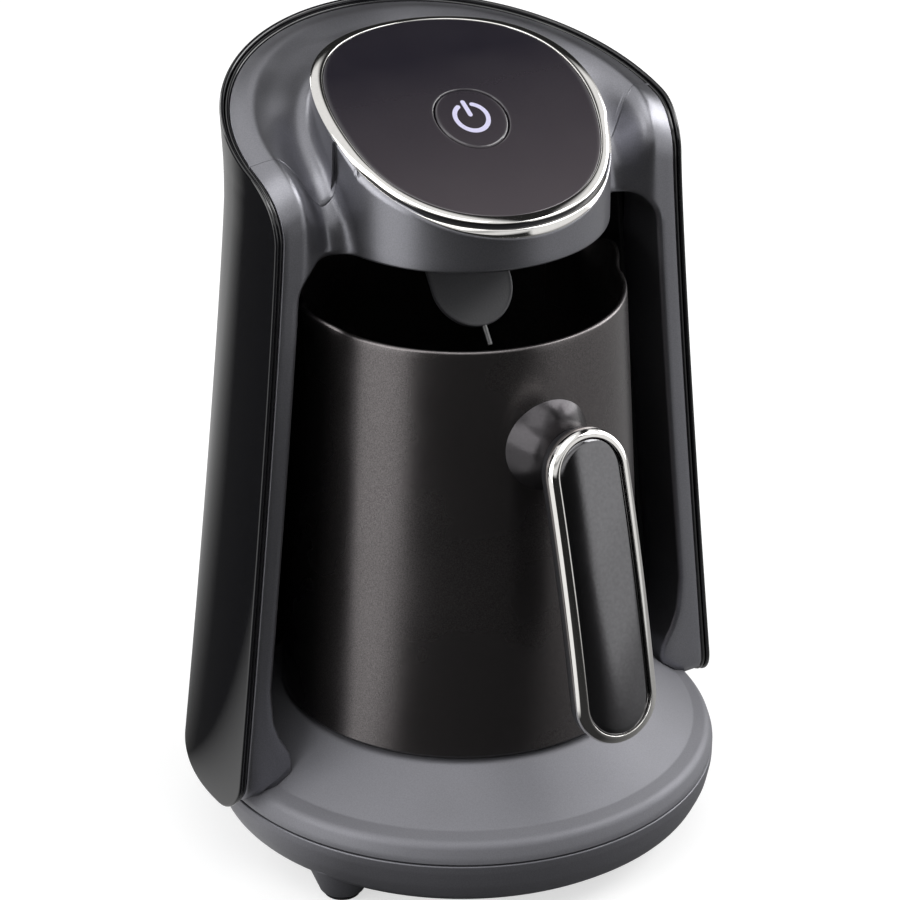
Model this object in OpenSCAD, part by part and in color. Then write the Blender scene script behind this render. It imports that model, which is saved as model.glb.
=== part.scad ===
// Electric coffee maker for thick, foamed coffee: a round base, a C-shaped body with an open chamber,
// a cantilevered head with one button, and a removable pot with its own heater.
// Z is up, the front faces -Y, the origin is under the middle of the base at the height of the feet.
// Lengths in millimetres, angles in degrees.

/* [Base] */
// Radius of the base at its parting line
base_r = 80.8; // [74:0.1:90]
// Height of the parting line between pan and cover
seam_z = 25; // [20:0.5:32]
// Height of the pan's underside over the table
pan_z = 6.6; // [5:0.1:9]
// Wall of the pan and of the cover
base_wall = 2.4; // [1.8:0.1:3.2]
// Distance of the cover's rounded crest in from the parting line
crest_in = 5.6; // [4:0.1:10]
// Height of the crest
crest_z = 33.4; // [30:0.1:38]
// Radius of the flat that the pot stands on
plateau_r = 57.5; // [54:0.5:62]
// Height of the flat that the pot stands on
plateau_z = 47.6; // [42:0.1:52]
// Distance of the feet in from the parting line
foot_in = 14.2; // [11:0.1:20]
// Angle of the front feet behind the left-right line
foot_front_a = 25.8; // [15:0.1:40]
// Angle of the rear feet behind the left-right line
foot_rear_a = 55; // [40:1:65]
// Radius of a foot pad
foot_r = 5.8; // [4:0.1:8]
// Thickness of a foot pad
foot_t = 2.4; // [1.5:0.1:4]

/* [Body] */
// Radius of the grey frame at the waist
waist_r = 68.6; // [64:0.1:76]
// How far the grey frame stands out past the base low down
foot_out = 3.8; // [2:0.1:8]
// Thickness of the two front columns
column_t = 6.2; // [5:0.1:8]
// Thickness of the frame's rear wall
frame_t = 2.6; // [2:0.1:3.5]
// Thickness of the outer shell
shell_t = 2.8; // [2:0.1:4]
// Thickness of the chamber liner
liner_t = 2; // [1.5:0.1:3]
// Front face of the columns, measured forward from the middle
front_y = -13; // [-20:0.5:-6]
// Height where the frame begins
frame_z = 28; // [27:0.1:30]
// Height of the rim at its front end
rim_z = 231.3; // [220:0.1:245]
// Slope of the rim, rising to the back
rim_slope = 15.5; // [8:0.5:18]
// Radius of the columns' rounded front top
brow_r = 18; // [10:0.5:24]

/* [Head] */
// Radius of the head's skirt
head_r = 44.6; // [42:0.1:48]
// Height of the head's lower edge
head_z = 205; // [200:0.5:210]
// Wall of the head
head_wall = 2.4; // [1.8:0.1:3]
// Distance of the glossy top panel's edge in from the skirt
panel_in = 3.1; // [2.6:0.1:5]
// Thickness of the top panel
panel_t = 2; // [1.5:0.1:3]
// Width of the bright ring around the panel
ring_w = 3.7; // [2.5:0.1:5]
// Thickness of the bright ring
ring_t = 1.6; // [1:0.1:2.5]
// Height of the bright trim at the front
trim_h = 2.8; // [2:0.1:5]
// Radius of the button
button_r = 11.3; // [8:0.1:13]
// Travel of the button
button_travel = 0.6; // [0.3:0.1:1]
// Place of the button's centre, measured forward from the middle
button_y = -5.5; // [-10:0.5:0]

/* [Sensor] */
// Width of the sensor tongue
tongue_w = 27.2; // [20:0.2:32]
// Length of the tongue below the head
tongue_l = 39.6; // [25:0.2:42]
// Thickness of the tongue
tongue_t = 2; // [1.5:0.1:3]
// Lean of the tongue towards the front
tongue_a = 35.5; // [20:0.5:45]
// Length of the probe pin beyond the tongue
probe_l = 6; // [3:0.5:9]

/* [Pot] */
// Radius of the pot at its foot
pot_r = 57.4; // [52:0.1:60]
// Radius of the pot at its rim
pot_rim_r = 50.3; // [46:0.1:54]
// Height of the pot's foot over the table
pot_z = 48.2; // [47.9:0.1:54]
// Height of the pot's rim
pot_rim_z = 182.5; // [160:0.5:184]
// Wall of the pot
pot_wall = 1.6; // [1.2:0.1:2.4]
// Height of the heater chamber under the pot's floor
heater_h = 18.5; // [17:0.5:24]
// How far a pouring lip stands out past the rim
lip_out = 4.4; // [2:0.1:6]
// Height of the pouring lips above the rim
lip_up = 3.4; // [1:0.1:4]

/* [Handle] */
// Width of the handle
handle_w = 27.4; // [24:0.2:32]
// Length of the handle
handle_l = 97; // [80:1:110]
// Depth of the handle from front to back
handle_d = 9.6; // [8:0.1:14]
// Lean of the handle, its lower end further out
handle_a = 14.8; // [8:0.2:18]
// How far the handle's middle bows out past its ends
handle_bow = 1.7; // [0:0.1:3]
// Width of the bright frame's rim
frame_w = 2.7; // [2:0.1:4]
// Height of the handle's top end
handle_top_z = 162.1; // [150:0.1:175]
// Distance of the handle's top end out from the pot at the neck
handle_reach = 14.9; // [13:0.1:24]
// Height where the neck leaves the pot
neck_z = 150; // [135:0.5:155]

/* [Fits] */
// Gap between covers that meet
cover_gap = 0.15; // [0.1:0.05:0.3]
// Gap around what slides or lifts
slide_gap = 0.3; // [0.25:0.05:0.5]
// Radius of an M3 screw's thread
screw_r = 1.4; // [1.2:0.1:1.6]

/* [Hidden] */
$fn = 96;
eps = 0.01;

// The body is a waisted cylinder: its radius falls with height on a soft curve and flares at the top.
waist_z = rim_z - 16.3;
body_foot_z = frame_z + 12;
body_foot_r = base_r + foot_out;
body_top_z = rim_z + 31;
waist_bend = 1.15;
flare_z = rim_z - 6.3;
flare = 0.05;
body_rings = 14;
far = 130;
high = rim_z + 70;
mid_z = 100;
function body_r(z) = waist_r
    + (body_foot_r - waist_r) * pow(max(0, (waist_z - z) / (waist_z - body_foot_z)), waist_bend)
    + flare * max(0, z - flare_z);
function levels(lo, hi) = [for (i = [0:body_rings]) lo + (hi - lo) * i / body_rings];
function arc(cy, cz, r, a0, a1, n = 8) =
    [for (i = [0:n]) let (a = a0 + (a1 - a0) * i / n) [cy + r * cos(a), cz + r * sin(a)]];

// The head's top is an S seen from the side: hollow at the front, crowned at the back.
top_knee_y = -10;
top_knee_z = rim_z + 4.9;
top_knee_a = 32.6;
top_front_r = 142;
top_back_r = 113;
function top_sin(y) = sin(top_knee_a) + (y - top_knee_y) / (y < top_knee_y ? top_front_r : -top_back_r);
function top_step(y) = sqrt(1 - pow(top_sin(y), 2)) - cos(top_knee_a);
function top_z(y) = top_knee_z + top_step(y) * (y < top_knee_y ? -top_front_r : top_back_r);
top_points = 22;
top_reach = head_r + 5.4;
panel_r = head_r - panel_in;

// The bright trim's lower edge lies in one plane, and tapers out toward the back.
trim_gap = 0.3;
trim_z = top_z(-head_r) - ring_t - trim_gap - trim_h;
trim_slope = 29.2;
trim_end_y = -9;

// Places that several pieces share
part_y = 2.3;
liner_front_y = front_y + 22;
valley_foot_r = head_r + 5.4;
valley_crest_r = waist_r - 7.1;
crown_z = rim_z + 20.3;
crest_rise = 3;
inner_gap = 0.2;
cover_r = waist_r - frame_t - cover_gap;
liner_z = 45.2;
button_tilt = asin(top_sin(button_y));
board_drop = 13.2;
crest_r = base_r - crest_in;
foot_ring_r = base_r - foot_in;
pot_floor_z = pot_z + heater_h;
pot_height = pot_rim_z - pot_z;
function pot_out(z) = pot_r + (pot_rim_r - pot_r) * (z - pot_z) / pot_height;
feet = [for (s = [-1, 1]) for (a = [-foot_front_a, foot_rear_a])
    [s * foot_ring_r * cos(a), foot_ring_r * sin(a)]];
boss_ring_r = base_r - 20.8;
boss_at = [for (a = [10, 170, 250, 290]) [boss_ring_r * cos(a), boss_ring_r * sin(a)]];
boss_r = 4;
pin_r = 2;
pin_z = pot_z + 9.8;
socket_w = 34;
socket_z = [pin_z - 7.6, pin_z + 8.4];
pin_pitch = 10;
neck_r = 9;
neck_flare_r = 12.5;
seat = 0.1;
pilot_r = screw_r + seat;
clear_r = screw_r + 0.3;

// Side view, Y to the right and Z up, swept from left to right
module across(w = 2 * far) rotate([90, 0, 90]) linear_extrude(w, center = true) children();

// Everything behind the columns' front and under the rim
module side_form(ahead = 0, rise = 0, low = frame_z, corner = 9) {
    front = front_y - ahead;
    knee_y = front + brow_r - brow_r * sin(rim_slope);
    knee_z = rim_z + rise + knee_y * tan(rim_slope);
    across() polygon(concat(
        arc(front + corner, low + corner, corner, 270, 180),
        arc(front + brow_r, knee_z - brow_r * cos(rim_slope), brow_r, 180, 90 + rim_slope, 12),
        [[far, knee_z + (far - knee_y) * tan(rim_slope)], [far, low]]));
}

// A band of the waisted body between two distances inside or outside its surface
module body_band(inside, outside, lo, hi) {
    zs = levels(lo, hi);
    rotate_extrude() polygon(concat(
        [for (z = zs) [body_r(z) + outside, z]],
        [for (i = [body_rings:-1:0]) [body_r(zs[i]) + inside, zs[i]]]));
}

module behind(y, lo = 0) translate([-far, y, lo]) cube([2 * far, far, high]);
module above(z, r = far) translate([0, 0, z]) cylinder(r = r, h = high);
module below_top(off) {
    ys = [for (i = [0:top_points]) -top_reach + 2 * top_reach * i / top_points];
    across() polygon(concat([for (y = ys) [y, top_z(y) + off]], [[top_reach, mid_z], [-top_reach, mid_z]]));
}
module below_trim(off = 0) across() polygon([
    [-top_reach, trim_z + off - (top_reach - head_r) * tan(trim_slope)],
    [top_reach, trim_z + off + (top_reach + head_r) * tan(trim_slope)],
    [top_reach, mid_z], [-top_reach, mid_z]]);
module tube(r_in, r_out, lo, hi) translate([0, 0, lo]) difference() {
    cylinder(r = r_out, h = hi - lo);
    translate([0, 0, -1]) cylinder(r = r_in, h = hi - lo + 2);
}

// ---- Base

module cover_form(grow = 0) rotate_extrude() polygon([
    [0, 0], [base_r + grow, 0], [base_r + grow, seam_z + 1], [base_r - 0.4 + grow, seam_z + 3.4],
    [base_r - 1.8 + grow, seam_z + 5.8], [crest_r + 1.6 + grow, crest_z - 1.2 + grow],
    [crest_r - 1 + grow / 2, crest_z + 0.2 + grow], [plateau_r + 1.2 + grow / 2, plateau_z - 0.7 + grow],
    [plateau_r - 0.8, plateau_z + grow], [0, plateau_z + grow]]);

module pan_form(wall = 0) rotate_extrude() polygon([
    [0, pan_z + wall], [base_r - 13 - wall * 0.4, pan_z + wall], [base_r - 8 - wall * 0.8, pan_z + 1.6 + wall],
    [base_r - 4 - wall, seam_z - 14 + wall * 0.4], [base_r - 1.6 - wall, seam_z - 9.5],
    [base_r - 0.4 - wall, seam_z - 4.5], [base_r - wall, seam_z - 0.3],
    [base_r - wall, seam_z + (wall > 0 ? 1 : -0.2)], [0, seam_z + (wall > 0 ? 1 : -0.2)]]);

foot_boss_h = 11;
gland_z = 17.5;
gland_r = 5;
gland_bore_r = 3.7;
module base_pan() color("slategray") difference() {
    union() {
        difference() {
            union() {
                pan_form();
                for (p = feet) translate([p.x, p.y, foot_t - 0.6])
                    cylinder(r1 = foot_r + 0.7, r2 = foot_r + 5.5, h = foot_boss_h);
            }
            pan_form(base_wall);
        }
        for (p = standoffs) translate([p.x, p.y, pan_z + 1]) cylinder(r = 3, h = board_z - pan_z - 1 - seat);
    }
    for (p = feet) translate([p.x, p.y, -1]) cylinder(r = foot_r + seat, h = foot_t + 1 + seat);
    for (p = boss_at) translate([p.x, p.y, 0]) {
        cylinder(r = clear_r, h = seam_z);
        cylinder(r = 3.8, h = pan_z + 1.2);
    }
    translate([0, base_r - 10, gland_z]) rotate([-90, 0, 0]) cylinder(r = gland_r + seat, h = 20);
}

module base_cover() color("silver") difference() {
    union() {
        difference() {
            cover_form();
            translate([0, 0, -base_wall]) cover_form(-base_wall * 0.6);
            translate([0, 0, -1]) cylinder(r = base_r + 5, h = seam_z + 1.2);
        }
        intersection() {
            union() {
                for (p = boss_at) translate([p.x, p.y, pan_z + base_wall + seat]) cylinder(r = boss_r, h = 60);
                for (p = frame_screw_at) translate([p.x, p.y, frame_screw_z + 1.6 + seat])
                    cylinder(r = boss_r, h = 60);
            }
            cover_form(-1);
        }
    }
    for (p = boss_at) translate([p.x, p.y, 0]) cylinder(r = pilot_r, h = seam_z);
    for (p = frame_screw_at) translate([p.x, p.y, 0]) cylinder(r = clear_r, h = 60);
    harness_hole();
}

module foot_pads() color("black") for (p = feet) translate([p.x, p.y, 0]) cylinder(r = foot_r, h = foot_t);

module screw(cap_r, head_h, length) {
    cylinder(r = cap_r, h = head_h);
    translate([0, 0, head_h - eps]) cylinder(r = screw_r, h = length);
}
module base_screws() color("gray") for (p = boss_at) translate([p.x, p.y, pan_z - 0.9]) screw(3.4, 2.1, 14);

module cord_gland() color("black") translate([0, base_r, gland_z]) rotate([-90, 0, 0]) difference() {
    union() {
        translate([0, 0, -13]) cylinder(r = gland_r, h = 14);
        translate([0, 0, cover_gap]) cylinder(r = gland_r + 2.4, h = 3);
        translate([0, 0, -13]) cylinder(r = gland_r + 1.4, h = 3);
    }
    translate([0, 0, -14]) cylinder(r = gland_bore_r, h = 20);
}

board_z = 15;
board_t = 1.6;
board_size = [84, 56];
standoffs = [for (s = [-1, 1]) for (t = [-1, 1]) [s * 38, t * 24 - 6]];
module power_board() color("darkgreen") difference() {
    translate([-board_size.x / 2, -board_size.y / 2 - 6, board_z]) cube([board_size.x, board_size.y, board_t]);
    for (p = standoffs) translate([p.x, p.y, board_z - 1]) cylinder(r = 1.5, h = 4);
}
module on_board(x, y) translate([x, y - 6, board_z + board_t + seat]) children();
module board_relay() color("royalblue") on_board(-26, -6) translate([-8, -6, 0]) cube([19, 15, 15]);
module board_capacitor() color("saddlebrown") on_board(8, -14) cylinder(r = 6, h = 16);
module board_transformer() color("gold") on_board(26, 4) {
    translate([-9, -11, 0]) cube([18, 22, 16]);
    translate([-11, -7, 3]) cube([22, 14, 10]);
}
module terminal_block() color("white") on_board(-8, 20) difference() {
    translate([-14, -5, 0]) cube([28, 10, 11]);
    for (x = [-9, 0, 9]) translate([x, 0, 2]) cylinder(r = 2.2, h = 12);
}

// ---- Body

foot_top_z = frame_z + 17;
foot_in_r = base_r - 14.3;
fillet_top_z = foot_top_z + 23;
module foot_ring() rotate_extrude() polygon([
    [foot_in_r, frame_z - 2], [foot_in_r, foot_top_z - 2.4], [foot_in_r + 2.6, foot_top_z],
    [body_r(foot_top_z) - 1, foot_top_z], [body_r(frame_z) - 1, frame_z - 2]]);
module foot_fillet() rotate_extrude() polygon([
    [foot_in_r + 3, foot_top_z - 1], [foot_in_r + 6.4, foot_top_z + 4.5], [foot_in_r + 8.4, foot_top_z + 11],
    [body_r(fillet_top_z) - column_t, fillet_top_z], [body_r(fillet_top_z) - 1, fillet_top_z],
    [body_r(foot_top_z) - 1, foot_top_z - 1]]);

frame_screw_z = 26.6;
frame_screw_at = [for (a = [-2.8, 59.8, 120.2, 182.8]) (base_r - 8.6) * [cos(a), sin(a)]];
module column_frame() color("gray") difference() {
    intersection() {
        union() {
            body_band(-frame_t, 0, frame_z, body_top_z);
            difference() {
                union() {
                    body_band(-column_t, 0, frame_z, body_top_z);
                    foot_fillet();
                }
                behind(liner_front_y - cover_gap);
                behind(part_y, head_z - 1);
            }
            foot_ring();
        }
        side_form();
    }
    cover_form(cover_gap);
    for (p = frame_screw_at) translate([p.x, p.y, 0]) cylinder(r = pilot_r, h = foot_top_z - 0.8);
    at_shell_screws() translate([0, 0, -1]) cylinder(r = pilot_r, h = 6);
    harness_hole();
}
module frame_screws() color("gray") for (p = frame_screw_at)
    translate([p.x, p.y, frame_screw_z]) screw(2.8, 1.6, 13);

// Screws of the shell, pointing inwards from the frame's surface
shell_screw_z = 39;
shell_screw_a = [70, 110];
shell_seat = cover_gap + 1.2;
module at_shell_screws() for (a = shell_screw_a) rotate(a)
    translate([body_r(shell_screw_z), 0, shell_screw_z]) rotate([0, -90, 0]) children();
module rear_shell() color("black") difference() {
    intersection() {
        body_band(cover_gap, cover_gap + shell_t, frame_z - 0.8, body_top_z + 2);
        side_form(ahead = 0.2, rise = 1, low = frame_z - 0.8, corner = 10);
    }
    cover_form(cover_gap);
    at_shell_screws() {
        translate([0, 0, -shell_seat - 9]) cylinder(r = 3.1, h = 9);
        translate([0, 0, -5]) cylinder(r = clear_r, h = 6);
    }
}
module shell_screws() color("gray") at_shell_screws() translate([0, 0, -shell_seat - 1.3]) screw(2.7, 1.3, 5.5);

module chamber_liner() color("#161618") difference() {
    intersection() {
        body_band(-column_t - inner_gap - liner_t, -column_t - inner_gap, liner_z, head_z - 0.3);
        behind(liner_front_y);
    }
    translate([-socket_w / 2 + 3, 60, pin_z - 4]) cube([socket_w - 6, 30, 8]);
}

module chamber_ceiling() color("#161618") intersection() {
    difference() {
        tube(head_r + cover_gap * 2, waist_r - column_t - inner_gap, head_z, head_z + 2);
        harness_slot();
    }
    behind(part_y + 0.2);
}

// Side view of the valley's floor, over the rim's front end, from the web's lower edge to the back
valley_line = [[-7.4, -30], [-7.3, -23.3], [-4.9, -15.1], [-1.6, -10.2], [2.2, -6.1], [14, 0.9],
    [24, 6.3], [34, 10.7], [52, 16.1], [far, 30]];

// Upper face of the grey top: a crest beside the rim and a valley around the head
module top_form(drop = 0) translate([0, 0, -drop]) difference() {
    intersection() {
        rotate_extrude() polygon([
            [head_r + cover_gap + drop / 2, head_z - 8], [cover_r - drop / 2, head_z - 8],
            [cover_r - drop / 2, high], [head_r + cover_gap + drop / 2, high]]);
        side_form(rise = crest_rise, low = mid_z);
        below_crown();
    }
    difference() {
        rotate_extrude() polygon([
            [0, head_z - 20], [valley_foot_r, head_z], [valley_crest_r, crown_z], [valley_crest_r, high],
            [0, high]]);
        across() polygon(concat([for (p = valley_line) [p.x, rim_z + p.y]],
            [[far, mid_z], [valley_line[0].x, mid_z]]));
    }
}
module below_crown() translate([0, 0, mid_z]) cylinder(r = far, h = crown_z - mid_z);

module top_cover() color("silver") difference() {
    intersection() {
        difference() {
            top_form();
            top_form(frame_t);
        }
        behind(part_y);
    }
    translate([0, 0, mid_z]) cylinder(r = far, h = head_z + 2.2 - mid_z);
    harness_slot();
    harness_entry();
}

// Wires from the terminals, up between liner and frame, over the ceiling to the control board
harness_r = 1.3;
harness_play = 1.2;
harness_a = 79;
harness_sides = 6;
harness_steps = 3;
function harness_at(z) = let (r = body_r(z) - (column_t + inner_gap + frame_t) / 2)
    [r * cos(harness_a), r * sin(harness_a), z];
function button_at(p) = [p.x, button_y + p.y * cos(button_tilt) - p.z * sin(button_tilt),
    top_z(button_y) + p.y * sin(button_tilt) + p.z * cos(button_tilt)];
harness_base = [13.4, base_r - 12, frame_z - 5];
harness_foot = harness_at(foot_top_z + 1);
harness_port = [9, head_r - 6, head_z + 12];
harness_route = concat(
    [[2, 19.6, 22], [6, 38, 20], [11, 58, 20.5], harness_base, (harness_base + harness_foot) / 2, harness_foot],
    [for (i = [1:6]) harness_at(foot_top_z + (head_z - foot_top_z) * i / 7)],
    [harness_at(head_z - 6), harness_at(head_z + 1), [11.4, 57, head_z + 9], harness_port + [0.4, 8, -0.6],
    harness_port, [8.5, 27, head_z + 18], button_at([8, 13.6, -16])]);
function spline(p, i, t) = let (
    a = p[max(i - 1, 0)], b = p[i], c = p[i + 1], d = p[min(i + 2, len(p) - 1)])
    0.5 * (2 * b + (c - a) * t + (2 * a - 5 * b + 4 * c - d) * t * t + (3 * b - a - 3 * c + d) * t * t * t);
function unit(v) = v / norm(v);
harness_points = concat([for (i = [0:len(harness_route) - 2]) for (k = [0:harness_steps - 1])
    spline(harness_route, i, k / harness_steps)], [harness_route[len(harness_route) - 1]]);
module wiring_harness() color("firebrick") {
    n = len(harness_points) - 1;
    rings = [for (i = [0:n]) let (
        along = unit(harness_points[min(i + 1, n)] - harness_points[max(i - 1, 0)]),
        up = unit(cross(along, [1, 0, 0])), side = cross(up, along))
        for (k = [0:harness_sides - 1]) let (b = 360 * k / harness_sides)
        harness_points[i] + harness_r * (cos(b) * side + sin(b) * up)];
    wire_tube(rings, n, harness_sides);
}
// Walls and ends of a tube over rings of points
module wire_tube(points, steps, sides) {
    walls = [for (i = [0:steps - 1]) for (k = [0:sides - 1]) let (m = (k + 1) % sides)
        [i * sides + k, i * sides + m, (i + 1) * sides + m, (i + 1) * sides + k]];
    polyhedron(points, concat(walls, [[for (k = [sides - 1:-1:0]) k],
        [for (k = [0:sides - 1]) steps * sides + k]]));
}
// Ways of the wires: through the foot of the frame, past the ceiling's edge and into the head
module harness_hole() bar(harness_base, harness_foot, harness_r + harness_play);
module harness_slot() translate(harness_at(head_z) - [0, 0, 3]) cylinder(r = harness_r + harness_play, h = 16);
module harness_entry() translate(harness_port + [0.2, -1, -0.3]) rotate([-90, 0, 0])
    cylinder(r = harness_r + harness_play, h = 12);
module bar(p, q, r) {
    d = q - p;
    translate(p) rotate([0, acos(d.z / norm(d)), atan2(d.y, d.x)]) cylinder(r = r, h = norm(d));
}

// ---- Head

module head_housing() color("silver") difference() {
    union() {
        intersection() {
            union() {
                tube(head_r - head_wall, head_r, head_z, body_top_z);
                difference() {
                    intersection() {
                        top_form();
                        translate([0, 0, head_z]) cylinder(r = waist_r - column_t - cover_gap, h = high - head_z);
                    }
                    behind(part_y - cover_gap);
                    above(mid_z, head_r - 1);
                }
            }
            below_trim(-0.1);
            below_top(-ring_t - 0.15);
        }
        intersection() {
            tube(panel_r - 3, head_r - head_wall + eps, head_z, body_top_z);
            below_top(-panel_t - 0.2);
            difference() {
                above(mid_z);
                below_top(-panel_t - 2);
            }
        }
        at_head_screws(3.2) cylinder(r = 3.4, h = 9);
    }
    at_head_screws(0) cylinder(r = pilot_r, h = 10);
    harness_entry();
}
head_screw_a = [30, 150, 270];
module at_head_screws(up) for (a = head_screw_a) rotate(a)
    translate([head_r - head_wall - 3.2, 0, head_z + up]) children();

module head_underside() color("#161618") difference() {
    translate([0, 0, head_z + 1]) cylinder(r = head_r - head_wall - cover_gap, h = 2);
    at_head_screws(0) cylinder(r = clear_r, h = 5);
    tongue_slot(0.4, 16);
}
module head_screws() color("gray") at_head_screws(-0.6) screw(2.7, 1.5, 8.5);

module front_trim() color("gainsboro") difference() {
    intersection() {
        tube(head_r - 1.8, head_r + 0.5, head_z, body_top_z);
        below_top(-ring_t - trim_gap);
        translate([-far, -far, 0]) cube([2 * far, far + trim_end_y, high]);
    }
    below_trim();
}

module panel_ring() color("gainsboro") difference() {
    intersection() {
        tube(panel_r + 0.1, panel_r + ring_w + 0.1, head_z, body_top_z);
        below_top(0);
    }
    below_top(-ring_t);
}

module button_frame() translate([0, button_y, top_z(button_y)]) rotate([button_tilt, 0, 0]) children();
module top_panel() color("#3a3540") difference() {
    intersection() {
        translate([0, 0, head_z]) cylinder(r = panel_r, h = high - head_z);
        below_top(-0.1);
    }
    below_top(-panel_t - 0.1);
    button_frame() cylinder(r = button_r + 0.35, h = 20, center = true);
}

cap_h = 3.7;
module button_cap() color("#3a3540") difference() {
    intersection() {
        button_frame() {
            translate([0, 0, -cap_h]) cylinder(r = button_r, h = cap_h + 4);
            translate([0, 0, -8.5]) cylinder(r = 3, h = 6);
            translate([0, 0, -cap_h]) cylinder(r = button_r + 1.3, h = 0.8);
        }
        below_top(-0.1);
    }
    button_symbol_form(0.05);
}

symbol_r = 5.2;
symbol_w = 1.5;
module button_symbol_form(grow = 0) button_frame() translate([0, 0, -0.9 - grow]) {
    difference() {
        cylinder(r = symbol_r + symbol_w / 2 + grow, h = 5);
        translate([0, 0, -1]) cylinder(r = symbol_r - symbol_w / 2 - grow, h = 8);
        translate([-2.2 + grow, 0, -1]) cube([4.4 - 2 * grow, 10, 8]);
    }
    translate([-symbol_w / 2 - grow, 0.4 - grow, 0]) cube([symbol_w + 2 * grow, symbol_r + 0.9 + 2 * grow, 5]);
}
module button_symbol() color("white") intersection() {
    button_symbol_form();
    below_top(-0.08);
}

// Round wire wound along Z
spring_r = 6;
spring_wire_r = 0.35;
spring_turns = 3;
spring_lo = -7.1;
module button_spring() color("silver") button_frame() {
    steps = spring_turns * 16;
    sides = 6;
    rise = -cap_h - 0.45 - spring_lo - 2 * spring_wire_r;
    pts = [for (i = [0:steps]) for (k = [0:sides - 1])
        let (a = 22.5 * i, b = 60 * k, r = spring_r + spring_wire_r * cos(b))
        [r * cos(a), r * sin(a), spring_lo + spring_wire_r + rise * i / steps - spring_wire_r * sin(b)]];
    wire_tube(pts, steps, sides);
}

holder_r = button_r + 4.2;
module button_holder() color("#202022") intersection() {
    button_frame() {
        translate([0, 0, -board_drop + seat]) difference() {
            cylinder(r = holder_r + 2, h = board_drop + 4);
            translate([0, 0, -1]) cylinder(r = holder_r - 1.6, h = board_drop + 8);
        }
        translate([0, 0, spring_lo - 1.2]) difference() {
            cylinder(r = holder_r - 1, h = 1.1);
            translate([0, 0, -1]) cylinder(r = 3.5, h = 4);
        }
    }
    below_top(-panel_t - 0.2);
}

module control_board() color("darkgreen") button_frame() difference() {
    translate([-holder_r - 4.5, -holder_r - 1.5, -board_drop - board_t])
        cube([2 * holder_r + 9, 2 * holder_r + 5, board_t]);
    for (s = [-1, 1]) translate([s * holder_r, 0, -board_drop - 4]) cylinder(r = screw_r + 0.2, h = 8);
}
module board_screws() color("gray") button_frame() for (s = [-1, 1])
    translate([s * holder_r, 0, -board_drop - board_t - 1.5 - seat / 2]) screw(2.4, 1.5, 1.5);
module tact_switch() color("dimgray") button_frame() {
    translate([-3, -3, -board_drop + seat]) cube([6, 6, 3.2]);
    translate([0, 0, -board_drop + 3.2]) cylinder(r = 1.6, h = board_drop - 3.2 - 8.5 - button_travel - 0.15);
}
module indicator_led() color("white") button_frame() translate([5.6, 0, -board_drop + seat])
    cylinder(r = 1.5, h = 3);
module buzzer() color("black") button_frame() translate([8, -8, -board_drop - board_t - seat - 5])
    cylinder(r = 5, h = 5);

// ---- Sensor

probe_r = 0.9;
tongue_top = [0, 9.6, head_z + 1];
module tongue_frame() translate(tongue_top) rotate([-tongue_a, 0, 0]) children();
module tongue_outline(w) {
    translate([-w / 2, -tongue_l + tongue_w / 2]) square([w, tongue_l - tongue_w / 2 + 6]);
    translate([0, -tongue_l + tongue_w / 2]) circle(r = w / 2);
}
module tongue_slot(gap, h) tongue_frame() translate([-tongue_w / 2 - gap, -tongue_t / 2 - gap, -8])
    cube([tongue_w + 2 * gap, tongue_t + 2 * gap, h]);
module sensor_tongue() color("dimgray") tongue_frame() difference() {
    rotate([90, 0, 0]) linear_extrude(tongue_t, center = true) tongue_outline(tongue_w);
    translate([0, 0, -tongue_l - 1]) cylinder(r = probe_r + 0.05, h = 16);
    translate([0, -tongue_t / 2 - 0.4, 0]) rotate([90, 0, 0]) linear_extrude(1.2, center = true)
        tongue_outline(tongue_w - 2.6);
}
module sensor_probe() color("silver") tongue_frame() translate([0, 0, -tongue_l - probe_l])
    cylinder(r = probe_r, h = probe_l + 14);
module sensor_mount() color("#202022") difference() {
    translate([-tongue_w / 2 - 3, 3, head_z + 3 + seat]) cube([tongue_w + 6, 16, 7]);
    tongue_slot(seat, 14.2);
}
module sensor_board() color("darkgreen") translate([-12, 4, head_z + 10 + 2 * seat]) cube([24, 14, 1.2]);

// ---- Power connection at the back of the chamber

function liner_in(z) = body_r(z) - column_t - inner_gap - liner_t - 0.2;
module power_socket() color("#202022") difference() {
    intersection() {
        translate([-socket_w / 2, pot_out(pin_z) + 3, socket_z[0]])
            cube([socket_w, 20, socket_z[1] - socket_z[0]]);
        rotate_extrude() polygon([
            [0, socket_z[0] - 5], [liner_in(socket_z[0] - 5), socket_z[0] - 5],
            [liner_in(socket_z[1] + 5), socket_z[1] + 5], [0, socket_z[1] + 5]]);
    }
    at_pins(50) cylinder(r = pin_r + 0.05, h = 40);
}
module at_pins(y) for (x = [-pin_pitch, 0, pin_pitch]) translate([x, y, pin_z]) rotate([-90, 0, 0]) children();
module power_pins() color("gold") at_pins(pot_out(pin_z) - 9) cylinder(r = pin_r, h = 26);

// ---- Pot

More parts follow.
